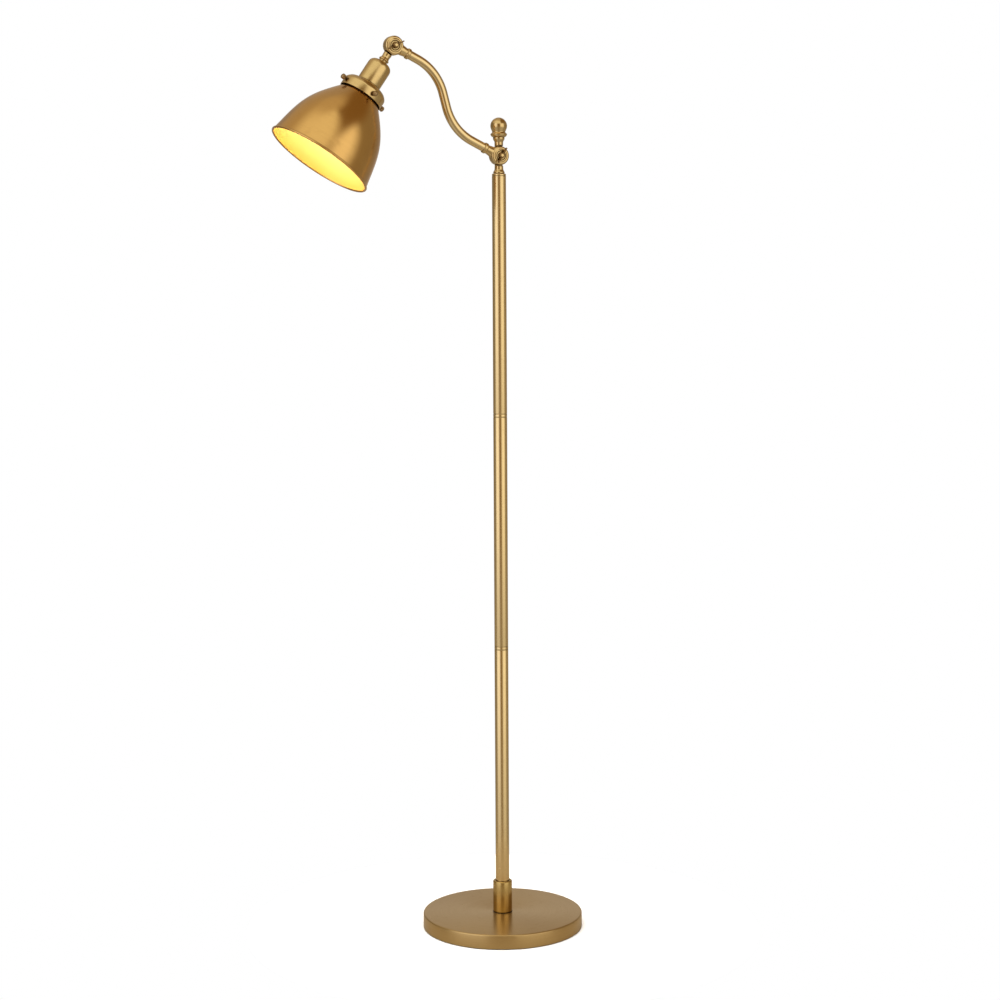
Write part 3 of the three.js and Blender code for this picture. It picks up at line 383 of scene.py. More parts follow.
# ---- Finishes ----
class NodeTree:
    """Short names for adding nodes and links to a tree."""

    def __init__(self, tree):
        self.tree = tree
        tree.nodes.clear()

    def add(self, kind, settings=None, **inputs):
        """A node with its settings and its inputs; an input may be a value or another node's output."""
        node = self.tree.nodes.new(kind)
        for name, value in (settings or {}).items():
            setattr(node, name, value)
        for name, value in inputs.items():
            socket = node.inputs[int(name[1:])] if name[0] == "_" else node.inputs[name.replace("_", " ")]
            if isinstance(value, bpy.types.NodeSocket):
                self.tree.links.new(value, socket)
            else:
                socket.default_value = value
        return node

    def math(self, operation, *values):
        inputs = {f"_{index}": value for index, value in enumerate(values)}
        return self.add("ShaderNodeMath", {"operation": operation}, **inputs).outputs[0]

    def blend(self, factor, first, second, kind="MIX"):
        node = self.add("ShaderNodeMix", {"data_type": "RGBA", "blend_type": kind}, _0=factor, _6=first, _7=second)
        return node.outputs[2]

    def remap(self, value, low, high):
        """0 to 1 brought to low to high."""
        return self.add("ShaderNodeMapRange", Value=value, To_Min=low, To_Max=high).outputs[0]


def new_group(name, inputs, outputs):
    """An empty shader node group: {name: default} inputs, None standing for a vector, and named value outputs."""
    group = bpy.data.node_groups.new(name, "ShaderNodeTree")
    nodes = NodeTree(group)
    for socket, default in inputs.items():
        kind = "NodeSocketVector" if default is None else "NodeSocketFloat"
        made = group.interface.new_socket(socket, in_out="INPUT", socket_type=kind)
        if default is not None:
            made.default_value = default
    for socket in outputs:
        group.interface.new_socket(socket, in_out="OUTPUT", socket_type="NodeSocketFloat")
    return group, nodes, nodes.add("NodeGroupInput").outputs


def lathe_lines_group():
    """Fine rings left by turning and brushing: quick changes along the axis and the radius, slow ones round it."""
    name = "Lathe Lines"
    if name in bpy.data.node_groups:
        return bpy.data.node_groups[name]
    group, nodes, given = new_group(name, {"Vector": None, "Fineness": 900.0, "Around": 12.0}, ["Lines"])
    parts = nodes.add("ShaderNodeSeparateXYZ", Vector=given["Vector"]).outputs
    radius = nodes.math("SQRT", nodes.math("ADD", nodes.math("POWER", parts["X"], 2.0),
                                           nodes.math("POWER", parts["Y"], 2.0)))
    around = [nodes.math("MULTIPLY", parts[axis], given["Around"]) for axis in ("X", "Y")]
    along = nodes.math("MULTIPLY", parts["Z"], given["Fineness"])
    place = nodes.add("ShaderNodeCombineXYZ", X=around[0], Y=around[1], Z=along).outputs[0]
    outwards = nodes.math("MULTIPLY", radius, given["Fineness"])
    noise = nodes.add("ShaderNodeTexNoise", {"noise_dimensions": "4D"}, Vector=place, W=outwards, Scale=1.0,
                      Detail=2.0, Roughness=0.6)
    nodes.add("NodeGroupOutput", Lines=noise.outputs[0])
    return group


def clouds_group():
    """Soft, uneven darkening of an aged finish, with small stains."""
    name = "Aged Clouds"
    if name in bpy.data.node_groups:
        return bpy.data.node_groups[name]
    group, nodes, given = new_group(name, {"Vector": None, "Scale": 14.0}, ["Clouds", "Stains"])
    broad = nodes.add("ShaderNodeTexNoise", Vector=given["Vector"], Scale=given["Scale"], Detail=4.0,
                      Roughness=0.55, Distortion=0.4)
    fine = nodes.add("ShaderNodeTexNoise", Vector=given["Vector"], Scale=nodes.math("MULTIPLY", given["Scale"], 9.0),
                     Detail=5.0, Roughness=0.7)
    stains = nodes.add("ShaderNodeMapRange", Value=fine.outputs[0], From_Min=0.56, From_Max=0.78)
    nodes.add("NodeGroupOutput", Clouds=broad.outputs[0], Stains=stains.outputs[0])
    return group


def start_material(name):
    material = bpy.data.materials.new(name)
    material.use_nodes = True
    return material, NodeTree(material.node_tree)


def finish_material(nodes, shader):
    nodes.add("ShaderNodeOutputMaterial", Surface=shader.outputs[0])


def place_vector(nodes, place=None):
    """Object coordinates, centred on a place and turned so that Z is its axis."""
    spot = nodes.add("ShaderNodeTexCoord").outputs["Object"]
    if place is None:
        return spot
    mapping = nodes.add("ShaderNodeMapping", {"vector_type": "TEXTURE"}, Vector=spot)
    mapping.inputs["Location"].default_value = place.to_translation()
    mapping.inputs["Rotation"].default_value = place.to_euler()
    return mapping.outputs[0]


def brass(name, tone, place=None, roughness=0.3, lines=0.25, bump=0.04, clouds=0.25, scale=14.0, fineness=900.0,
          crevice_shade_reach=4.0, brushed=0.0):
    """Lacquered brass: turning lines, cloudy patina, small stains and painted shade that darkens the crevices and the
    gaps between parts.
    """
    if name in bpy.data.materials:
        return bpy.data.materials[name]
    material, nodes = start_material(name)
    spot = place_vector(nodes, place)
    rings = nodes.add("ShaderNodeGroup", {"node_tree": lathe_lines_group()}, Vector=spot, Fineness=fineness)
    aged = nodes.add("ShaderNodeGroup", {"node_tree": clouds_group()}, Vector=spot, Scale=scale)
    light = tuple(min(1.0, part * 1.06) for part in tone) + (1.0,)
    dark = (tone[0] * 0.72, tone[1] * 0.66, tone[2] * 0.56, 1.0)
    amount = nodes.math("ADD", nodes.math("MULTIPLY", rings.outputs["Lines"], lines),
                        nodes.math("MULTIPLY", aged.outputs["Clouds"], clouds))
    coat = nodes.blend(amount, light, dark)
    stains_and_crevice_shade = nodes.blend(nodes.math("MULTIPLY", aged.outputs["Stains"], 0.35), coat, dark)
    # Painted shade: ambient occlusion darkens crevices, gaps between parts and the feet of rings towards a near-black
    # brown.
    hollow = nodes.add("ShaderNodeAmbientOcclusion", {"samples": 8}, Distance=crevice_shade_reach * MM)
    open_part = nodes.add("ShaderNodeMapRange", Value=hollow.outputs["AO"], From_Min=0.4, From_Max=0.88)
    crevice_shade_tone = (tone[0] * 0.09, tone[1] * 0.055, tone[2] * 0.03, 1.0)
    stains_and_crevice_shade = nodes.blend(open_part.outputs[0], crevice_shade_tone, stains_and_crevice_shade)
    rough = nodes.math("ADD", nodes.remap(rings.outputs["Lines"], roughness - 0.06, roughness + 0.06),
                       nodes.math("MULTIPLY", aged.outputs["Stains"], 0.08))
    relief = nodes.add("ShaderNodeBump", Strength=bump, Distance=0.0004, Height=rings.outputs["Lines"])
    shader = nodes.add("ShaderNodeBsdfPrincipled", Base_Color=stains_and_crevice_shade, Metallic=1.0, Roughness=rough,
                       Normal=relief.outputs[0], Anisotropic=brushed, Anisotropic_Rotation=0.25)
    finish_material(nodes, shader)
    return material


def mottled(name, first, second, scale, roughness, metallic=0.0, bump=0.2, detail=6.0):
    """Cast, rubbery, fibrous or ceramic stuff: two tones mixed by noise, which also roughens the surface."""
    if name in bpy.data.materials:
        return bpy.data.materials[name]
    material, nodes = start_material(name)
    noise = nodes.add("ShaderNodeTexNoise", Vector=place_vector(nodes), Scale=scale, Detail=detail, Roughness=0.6)
    tone = nodes.blend(noise.outputs[0], (*first, 1.0), (*second, 1.0))
    relief = nodes.add("ShaderNodeBump", Strength=bump, Distance=0.0006, Height=noise.outputs[0])
    rough = nodes.remap(noise.outputs[0], roughness - 0.1, min(1.0, roughness + 0.1))
    shader = nodes.add("ShaderNodeBsdfPrincipled", Base_Color=tone, Metallic=metallic, Roughness=rough,
                       Normal=relief.outputs[0])
    finish_material(nodes, shader)
    return material


def finishes():
    return bpy.context.scene.lamp_finishes


def base_brass():
    return brass("base satin brass", finishes().base_brass, lines=0.45, bump=0.012, clouds=0.3, scale=9.0,
                 fineness=1300.0, crevice_shade_reach=2.5, brushed=0.75)


def tube_brass():
    return brass("tube satin brass", finishes().tube_brass, roughness=0.22, lines=0.1, bump=0.003, clouds=0.2,
                 crevice_shade_reach=1.5)


def arm_brass():
    return brass("arm satin brass", finishes().tube_brass, UPPER_HINGE_PLACE, roughness=0.15, lines=0.06,
                 bump=0.002, scale=20.0, fineness=60.0)


def collar_brass():
    return brass("collar satin brass", (0.60, 0.43, 0.17), roughness=0.22, bump=0.008, clouds=0.4, scale=20.0)


def head_brass():
    return brass("head satin brass", finishes().satin_brass, HEAD_PLACE, roughness=0.22, bump=0.008, clouds=0.35,
                 scale=22.0)


def stem_brass():
    return brass("stem turned brass", finishes().polished_brass, STEM_PLACE, roughness=0.16, lines=0.2, bump=0.006,
                 clouds=0.35, scale=40.0)


def knuckle_brass(name, point):
    return brass(name, finishes().polished_brass, point @ TO_HINGE, roughness=0.16, lines=0.2, bump=0.006,
                 clouds=0.4, scale=45.0)


def screw_brass(place, point):
    return brass(f"{place} screw brass", finishes().polished_brass, point @ TO_HINGE, roughness=0.18, lines=0.2,
                 bump=0.008, clouds=0.4, scale=60.0)


# The wing nuts' brass is about half as bright as the knuckles' own: painted shade that darkens the wing nuts.
def wing_brass(place, point):
    return brass(f"{place} wing nut brass", (0.34, 0.21, 0.09), point @ TO_HINGE, roughness=0.22, lines=0.2,
                 bump=0.008, clouds=0.4, scale=60.0)


def dark_brass():
    return brass("darkened brass", finishes().dark_brass, HEAD_PLACE, roughness=0.34, lines=0.3, bump=0.05,
                 clouds=0.5, scale=60.0)


def shade_brass():
    return brass("shade coppery brass", finishes().shade_brass, HEAD_PLACE, roughness=0.2, bump=0.006, clouds=0.3,
                 scale=7.0)


def zinc_steel():
    return brass("zinc steel", (0.58, 0.58, 0.56), roughness=0.36, lines=0.3, bump=0.05, clouds=0.3, scale=60.0)


def nickel():
    return brass("bulb cap nickel", (0.72, 0.70, 0.66), HEAD_PLACE, roughness=0.26, lines=0.2, bump=0.03,
                 clouds=0.2, scale=60.0)


def shade_lining():
    """Pale gold paint inside the shade, a little uneven, with painted light and shade: deeper orange towards the rim
    and paler further in.
    """
    name = "pale gold lining"
    if name in bpy.data.materials:
        return bpy.data.materials[name]
    material, nodes = start_material(name)
    spot = place_vector(nodes, HEAD_PLACE)
    aged = nodes.add("ShaderNodeGroup", {"node_tree": clouds_group()}, Vector=spot, Scale=20.0)
    tone = finishes().lining
    rim_shaded_tone = (tone[0], tone[1] * 0.82, tone[2] * 0.42, 1.0)
    # Painted light and shade: the lining turns deeper orange towards the rim and paler further in, as the bulb's light
    # falls.
    height = nodes.add("ShaderNodeSeparateXYZ", Vector=spot).outputs["Z"]
    depth = nodes.add("ShaderNodeMapRange", Value=height, From_Min=-0.226, From_Max=-0.190)
    spray_and_rim_shading = nodes.math("ADD", nodes.math("MULTIPLY", aged.outputs["Clouds"], 0.15), depth.outputs[0])
    coat = nodes.blend(spray_and_rim_shading, rim_shaded_tone, (*tone, 1.0))
    relief = nodes.add("ShaderNodeBump", Strength=0.05, Distance=0.0004, Height=aged.outputs["Stains"])
    rough = nodes.remap(aged.outputs["Clouds"], 0.28, 0.34)
    shader = nodes.add("ShaderNodeBsdfPrincipled", Base_Color=coat, Metallic=0.0, Roughness=rough,
                       Normal=relief.outputs[0])
    finish_material(nodes, shader)
    return material


def bulb_glass():
    """Frosted glass with the warm light of the lit lamp."""
    name = "lit frosted glass"
    if name in bpy.data.materials:
        return bpy.data.materials[name]
    material, nodes = start_material(name)
    noise = nodes.add("ShaderNodeTexNoise", Vector=place_vector(nodes, HEAD_PLACE), Scale=900.0, Detail=3.0)
    frost = nodes.remap(noise.outputs[0], 0.45, 0.6)
    tone = nodes.blend(noise.outputs[0], (1.0, 0.93, 0.80, 1.0), (0.96, 0.88, 0.74, 1.0))
    light = nodes.blend(noise.outputs[0], (1.0, 0.84, 0.52, 1.0), (1.0, 0.80, 0.48, 1.0))
    relief = nodes.add("ShaderNodeBump", Strength=0.1, Distance=0.0002, Height=noise.outputs[0])
    shader = nodes.add("ShaderNodeBsdfPrincipled", Base_Color=tone, Roughness=frost, Normal=relief.outputs[0],
                       Emission_Color=light, Emission_Strength=bpy.context.scene.lamp_studio.glow)
    finish_material(nodes, shader)
    return material


def black_foam():
    return mottled("black foam", (0.012, 0.012, 0.013), (0.03, 0.03, 0.032), 900.0, 0.88, bump=0.5)


def black_rubber():
    return mottled("black rubber", (0.018, 0.018, 0.018), (0.035, 0.035, 0.035), 400.0, 0.6, bump=0.15)


# Near-black finish, used as painted shade inside the fitter and under its foot.
def black_gap_shade():
    return mottled("black lacquer", (0.008, 0.007, 0.006), (0.02, 0.016, 0.012), 300.0, 0.5, bump=0.05)


def cast_iron():
    return mottled("cast iron", (0.035, 0.034, 0.034), (0.09, 0.088, 0.085), 320.0, 0.72, 0.6, 0.6)


def fibre():
    return mottled("vulcanised fibre", (0.035, 0.02, 0.012), (0.075, 0.045, 0.026), 500.0, 0.8, bump=0.25)


def porcelain():
    return mottled("glazed porcelain", (0.86, 0.83, 0.76), (0.78, 0.75, 0.68), 60.0, 0.25, bump=0.03)


def lead_sheath():
    return mottled("gold braided sheath", (0.50, 0.38, 0.20), (0.30, 0.21, 0.10), 1400.0, 0.6, bump=0.5)


def pale_floor(tone):
    """Matt pale floor that reflects less light into the lamp than it shows itself."""
    material, nodes = start_material("pale floor")
    noise = nodes.add("ShaderNodeTexNoise", Vector=place_vector(nodes), Scale=6.0, Detail=3.0)
    coat = nodes.blend(noise.outputs[0], (*tone, 1.0), (*(part * 0.985 for part in tone), 1.0))
    seen = nodes.add("ShaderNodeLightPath").outputs["Is Camera Ray"]
    muted = nodes.blend(seen, (0.29, 0.25, 0.19, 1.0), coat)
    shader = nodes.add("ShaderNodeBsdfPrincipled", Base_Color=muted, Roughness=nodes.remap(noise.outputs[0], 0.7, 0.8))
    finish_material(nodes, shader)
    return material


# ---- Stage ----
class LAMP_OT_make_stage(bpy.types.Operator):
    """Camera, floor, soft light all round and one soft light from above"""
    bl_idname = "lamp.make_stage"
    bl_label = "Stage"

    def execute(self, context):
        studio = context.scene.lamp_studio
        right = Vector((math.cos(CAMERA_HEADING), -math.sin(CAMERA_HEADING), 0))
        away = Vector((math.sin(CAMERA_HEADING), math.cos(CAMERA_HEADING), 0))
        self.make_camera(context, right, away)
        self.make_world(context, studio, right, -away)
        self.make_floor(studio)
        self.make_light()
        context.scene.view_settings.view_transform = "Standard"
        return {"FINISHED"}

    def make_camera(self, context, right, away):
        level = math.cos(CAMERA_PITCH)
        forward = Vector((math.sin(CAMERA_HEADING) * level, math.cos(CAMERA_HEADING) * level, math.sin(CAMERA_PITCH)))
        up = right.cross(forward)
        leaning_up = up * math.cos(CAMERA_ROLL) + right * math.sin(CAMERA_ROLL)
        leaning_right = right * math.cos(CAMERA_ROLL) - up * math.sin(CAMERA_ROLL)
        turn = Matrix((leaning_right, leaning_up, -forward)).transposed()
        data = bpy.data.cameras.new("camera")
        data.lens = CAMERA_LENS
        data.sensor_width = 36
        data.clip_end = 100
        camera = bpy.data.objects.new("camera", data)
        camera.location = away * -CAMERA_DISTANCE + Vector((0, 0, CAMERA_HEIGHT)) - right * CAMERA_SHIFT
        camera.rotation_euler = turn.to_euler()
        context.scene.collection.objects.link(camera)
        context.scene.camera = camera

    def make_world(self, context, studio, right, toward):
        """Two soft lights beside the camera with a warm dark card between them; the camera itself sees white."""
        world = bpy.data.worlds.new("studio")
        world.use_nodes = True
        context.scene.world = world
        nodes = NodeTree(world.node_tree)
        ray = nodes.add("ShaderNodeTexCoord").outputs["Generated"]
        side = nodes.add("ShaderNodeVectorMath", {"operation": "DOT_PRODUCT"}, _0=ray, _1=right).outputs["Value"]
        front = nodes.add("ShaderNodeVectorMath", {"operation": "DOT_PRODUCT"}, _0=ray, _1=toward).outputs["Value"]
        turn = nodes.math("ARCTAN2", side, front)
        round_lamp = nodes.math("ADD", nodes.math("DIVIDE", turn, FULL_TURN), 0.5)
        ring = nodes.add("ShaderNodeValToRGB", Fac=round_lamp)
        left, right_side = (0.20, 0.17, 0.12), (0.25, 0.20, 0.13)
        behind, aside = (0.46, 0.42, 0.37), (0.24, 0.20, 0.17)
        high_behind, high_left, high_front = (0.36, 0.31, 0.27), (0.44, 0.36, 0.25), (0.80, 0.76, 0.62)
        high_right = (0.20, 0.12, 0.045)
        overhead, low_down = (0.50, 0.42, 0.30, 1.0), (0.30, 0.27, 0.22, 1.0)
        card, left_light, right_light = (tuple(tone) for tone in (studio.shadow_card, studio.left_light,
                                                                  studio.right_light))
        self.fill_ramp(ring, [
            (-180, behind), (-150, aside), (-125, left), (-86, left), (-66, left_light),
            (-30, left_light), (-13, card), (13, card), (30, right_light), (66, right_light), (86, right_side),
            (125, right_side), (150, aside), (180, behind),
        ])
        high = nodes.add("ShaderNodeValToRGB", Fac=round_lamp)
        self.fill_ramp(high, [
            (-180, high_behind), (-110, high_left), (-60, high_front), (28, high_front), (46, high_right),
            (135, high_right), (180, high_behind),
        ])
        height = nodes.add("ShaderNodeSeparateXYZ", Vector=ray).outputs["Z"]
        ceiling, zenith, below = (
            nodes.add("ShaderNodeMapRange", {"interpolation_type": "SMOOTHSTEP"}, Value=height, From_Min=start,
                      From_Max=end) for start, end in ((0.38, 0.62), (0.9, 0.99), (-0.05, -0.4)))
        lit = nodes.blend(ceiling.outputs[0], ring.outputs[0], high.outputs[0])
        lit = nodes.blend(zenith.outputs[0], lit, overhead)
        lit = nodes.blend(nodes.math("MULTIPLY", below.outputs[0], 0.8), lit, low_down)
        soft = nodes.add("ShaderNodeBackground", Color=lit, Strength=STUDIO_STRENGTH)
        plain = nodes.add("ShaderNodeBackground", Color=(1.0, 1.0, 1.0, 1.0), Strength=1.0)
        seen = nodes.add("ShaderNodeLightPath").outputs["Is Camera Ray"]
        mix = nodes.add("ShaderNodeMixShader", _0=seen, _1=soft.outputs[0], _2=plain.outputs[0])
        nodes.add("ShaderNodeOutputWorld", Surface=mix.outputs[0])

    def fill_ramp(self, node, stops):
        """Colours at angles round the lamp, 0 degrees being towards the camera."""
        ramp = node.color_ramp
        while len(ramp.elements) < len(stops):
            ramp.elements.new(0.5)
        for element, (degrees, tone) in zip(ramp.elements, stops):
            element.position = degrees / 360 + 0.5
            element.color = (*tone, 1.0)

    def make_floor(self, studio):
        bm = bmesh.new()
        bmesh.ops.create_circle(bm, cap_ends=True, segments=LARGE, radius=FLOOR_RADIUS)
        mesh = bpy.data.meshes.new("floor")
        bm.to_mesh(mesh)
        bm.free()
        floor = bpy.data.objects.new("floor", mesh)
        bpy.context.scene.collection.objects.link(floor)
        floor.data.materials.append(pale_floor(tuple(studio.floor)))

    def make_light(self):
        """A broad sun-like light that whitens the floor and stays out of the brass's reflections."""
        data = bpy.data.lights.new("overhead", "SUN")
        data.energy = 3.7
        data.angle = math.radians(60)
        light = bpy.data.objects.new("overhead", data)
        light.rotation_euler = (math.radians(12), math.radians(-8), 0)
        light.visible_glossy = False
        bpy.context.scene.collection.objects.link(light)


# ---- Base ----
class LAMP_OT_make_base(bpy.types.Operator):
    """Foot pad, drawn cover with its outlet, rubber gland and the collar that holds the column"""
    bl_idname = "lamp.make_base"
    bl_label = "Base"

    def execute(self, context):
        sizes = in_mm(context.scene.lamp_base)
        low, high, radius = span("base_pad")
        add_piece(turned([(0, low), (radius, low, 0.4), (radius, high, 0.6), (0, high)], LARGE), "base_pad",
                  [black_foam()])
        self.make_gland(sizes, self.make_cover(sizes))
        self.make_collar(sizes)
        return {"FINISHED"}

    def make_cover(self, sizes):
        low, high, radius = span("base_cover")
        wall = sizes.cover_wall
        hole = span("threaded_rod")[2] + GAP
        shell = turned([
            (radius - wall, low), (radius, low, 0.5), (radius, high, sizes.cover_edge), (hole, high, 0.3),
            (hole, high - wall), (radius - wall, high - wall, sizes.cover_edge - wall),
        ], LARGE, closed=True)
        height = self.gland_height()
        start, _, flange = span("cord_gland", Matrix.Translation((0, 0, height * MM)) @ TO_SIDE)
        outlet = moved(rod(flange - GLAND_LIP + GAP, start, radius + 10), Matrix.Translation((0, 0, height)) @ TO_SIDE)
        add_piece(cut(shell, outlet), "base_cover", [base_brass()])
        return radius

    def gland_height(self):
        low, high = (corner.z / MM for corner in map(Vector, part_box("cord_gland")))
        return (low + high) / 2

    def make_gland(self, sizes, cover_radius):
        place = Matrix.Translation((0, 0, self.gland_height() * MM)) @ TO_SIDE
        low, high, flange = span("cord_gland", place)
        body = flange - GLAND_LIP
        inside = cover_radius - sizes.cover_wall - 2 * GAP
        outside = cover_radius + GAP
        add_piece(turned([
            (body - 1.3, low), (body + 0.6, low, 0.3), (body + 0.6, inside - 0.6, 0.2), (body, inside),
            (body, outside), (flange, outside, 0.3), (flange, (outside + high) / 2, 0.8), (body, high, 0.4),
            (body - 1.3, high, 0.3),
        ], SMALL, closed=True), "cord_gland", [black_rubber()], place)

    def make_collar(self, sizes):
        low, high, radius = span("base_collar")
        tube_foot, _, tube_radius = span("lower_tube")
        bore = tube_radius + GAP
        floor = tube_foot - GAP
        hole = span("threaded_rod")[2] + GAP
        add_piece(turned([
            (hole, low), (radius, low, 0.8), (radius, high, sizes.collar_edge), (bore, high, 0.3), (bore, floor),
            (hole, floor),
        ], ROUND, closed=True), "base_collar", [collar_brass()])


# ---- Column ----
class LAMP_OT_make_column(bpy.types.Operator):
    """Three tubes, the couplers whose bands show between them and the cap on top"""
    bl_idname = "lamp.make_column"
    bl_label = "Column"

    def execute(self, context):
        sizes = in_mm(context.scene.lamp_base)
        names = ("lower_tube", "middle_tube", "upper_tube")
        tubes = [span(node) for node in names]
        for node, (low, high, radius) in zip(names, tubes):
            add_piece(pipe(radius, radius - sizes.tube_wall, low, high, sizes.tube_edge), node, [tube_brass()])
        for node, below, above in zip(("lower_coupler", "upper_coupler"), tubes, tubes[1:]):
            self.make_coupler(sizes, node, below[1] + GAP, above[0] - GAP)
        self.make_cap(sizes, tubes[2][1] + GAP)
        return {"FINISHED"}

    def make_coupler(self, sizes, node, foot, top):
        low, high, radius = span(node)
        spigot = radius - sizes.tube_wall - GAP
        add_piece(turned([
            (spigot - 2.5, low), (spigot, low, 0.4), (spigot, foot), (radius, foot, 0.6), (radius, top, 0.6),
            (spigot, top), (spigot, high, 0.4), (spigot - 2.5, high),
        ], ROUND, closed=True), node, [tube_brass()])

    def make_cap(self, sizes, foot):
        low, high, radius = span("column_cap")
        spigot = radius - sizes.tube_wall - GAP
        bore = STEM_THREAD + GAP
        add_piece(turned([
            (bore, low), (spigot, low, 0.4), (spigot, foot), (radius, foot, 0.3), (radius, high, sizes.cap_edge),
            (bore, high),
        ], ROUND, closed=True), "column_cap", [tube_brass()])


# ---- Knuckles ----
class LAMP_OT_make_knuckles(bpy.types.Operator):
    """Rear halves on the stem and the head, front halves with sockets at both ends of the arm"""
    bl_idname = "lamp.make_knuckles"
    bl_label = "Knuckles"

    def execute(self, context):
        self.sizes = in_mm(context.scene.lamp_knuckle)
        self.reach = 2 * self.sizes.radius
        self.outer = self.sizes.face + self.sizes.half
        self.relief = self.sizes.radius + self.sizes.relief
        lower = knuckle_brass("lower knuckle brass", STEM_PLACE)
        upper = knuckle_brass("upper knuckle brass", UPPER_HINGE_PLACE)
        self.make_stem()
        self.make_head_knuckle(upper)
        add_piece(self.arm_knuckle(0), "arm_knuckle_lower", [lower], STEM_PLACE)
        add_piece(self.arm_knuckle(math.pi), "arm_knuckle_upper", [upper], UPPER_HINGE_PLACE)
        return {"FINISHED"}

    def rear_disc(self):
        radius = self.sizes.radius
        return hinged([
            (0, self.sizes.face), (radius, self.sizes.face, 0.4), (radius, self.outer, self.sizes.edge),
            (0, self.outer),
        ])

    def front_disc(self):
        sizes = self.sizes
        crest = -self.outer - sizes.ring
        return hinged([
            (0, crest + sizes.recess_depth), (sizes.recess, crest + sizes.recess_depth, 0.4),
            (sizes.recess, crest, 0.4), (sizes.recess + 1.5, crest, 0.7), (sizes.ring_foot, -self.outer, 0.6),
            (sizes.radius, -self.outer, sizes.edge), (sizes.radius, -sizes.face, 0.4), (0, -sizes.face),
        ])

    def room(self, side):
        """Where the other half turns: from its mating face outwards."""
        face = self.sizes.face + LAP
        low, high = (-self.reach, face) if side > 0 else (-face, self.reach)
        return moved(rod(self.relief, low, high, ROUND), TO_HINGE)

    def screw_hole(self):
        return moved(rod(self.sizes.screw + GAP, -self.reach, self.reach), TO_HINGE)

    def make_stem(self):
        low, high, _ = span("stem_knuckle", STEM_PLACE)
        seat = span("column_cap", STEM_PLACE)[1] + GAP
        neck = turned([
            (0, low), (STEM_THREAD, low, 0.5), (STEM_THREAD, seat), (9.8, seat, 0.8), (9.8, seat + 2.6, 1.5),
            (7.5, seat + 5.4, 2), (7.3, seat + 10, 3), (7.3, high - 7.4, 2), (9.3, high - 5.0, 1.2),
            (10, high - 2.6, 1.0), (9.8, high, 0.7), (0, high),
        ])
        wire_way = rod(WIRE_BORE, low - 1, 2 - self.relief)
        finial_hole = rod(STEM_THREAD + GAP, span("finial", STEM_PLACE)[0] - 1, high + 1)
        rear = joined(cut(neck, self.room(1)), self.rear_disc())
        add_piece(cut(rear, self.screw_hole(), wire_way, finial_hole), "stem_knuckle", [stem_brass()], STEM_PLACE)

    def make_head_knuckle(self, material):
        low = span("head_knuckle", HEAD_PLACE)[0]
        end = -low
        neck = turned(hanging([
            (0, end), (7.2, end, 0.3), (7.2, end - 3.2, 0.5), (9, end - 4.4, 0.9), (8.9, end - 5.6, 0.9),
            (7, end - 8, 1.6), (6.6, end - 11.5, 2), (7.2, self.relief + 0.5, 2), (7.2, self.sizes.radius / 2),
            (0, self.sizes.radius / 2),
        ]))
        _, nipple_top, nipple_radius = span("cup_nipple", HEAD_PLACE)
        thread = rod(nipple_radius + GAP, low - 1, nipple_top + 1)
        wire_way = rod(WIRE_BORE, low, 2 - self.relief)
        turn = Matrix.Rotation(HEAD_TILT, 4, "Y")
        rear = joined(cut(moved(neck, turn), self.room(1)), self.rear_disc())
        shaped = cut(rear, self.screw_hole(), moved(thread, turn), moved(wire_way, turn))
        add_piece(shaped, "head_knuckle", [material], UPPER_HINGE_PLACE)

    def socket(self):
        """Lofted from a wide root in the disc to a waist at the tube, with a small ring at its mouth."""
        bm = bmesh.new()
        made = bmesh.ops.create_circle(bm, cap_ends=True, segments=ROUND, radius=1)["verts"]
        height, width, depth = SOCKET_SECTIONS[0]
        bmesh.ops.scale(bm, vec=(width, depth, 1), verts=made)
        bmesh.ops.translate(bm, vec=(0, 0, height), verts=made)
        root = top = bm.faces[:]
        for (low, wide, deep), (high, next_wide, next_deep) in zip(SOCKET_SECTIONS, SOCKET_SECTIONS[1:]):
            risen = bmesh.ops.extrude_face_region(bm, geom=top)["geom"]
            if top != root:
                bmesh.ops.delete(bm, geom=top, context="FACES_ONLY")
            verts = [item for item in risen if isinstance(item, bmesh.types.BMVert)]
            top = [item for item in risen if isinstance(item, bmesh.types.BMFace)]
            bmesh.ops.scale(bm, vec=(next_wide / wide, next_deep / deep, 1), verts=verts)
            bmesh.ops.translate(bm, vec=(0, 0, high - low), verts=verts)
        tidy(bm)
        mouth = ARM_RADIUS + GAP
        floor = 26.2
        ring = turned([
            (0, 24.6), (ARM_RADIUS, 24.6), (7.9, 25.4, 0.3), (9.3, floor, 0.8), (9.3, SOCKET_END, 1.3),
            (mouth, SOCKET_END, 0.3), (mouth, floor), (0, floor),
        ])
        return joined(bm, ring)

    def arm_knuckle(self, turn):
        """Front half with a socket along the arm, turned about the hinge to face its end of the arm."""
        body = cut(self.socket(), rod(WIRE_BORE, self.sizes.radius - 4, 27))
        moved(body, Matrix.Rotation(math.radians(ARM_SLOPE) - math.pi / 2, 4, "Y"))
        half = cut(joined(cut(body, self.room(-1)), self.front_disc()), self.screw_hole())
        return moved(half, Matrix.Rotation(turn, 4, "Y"))


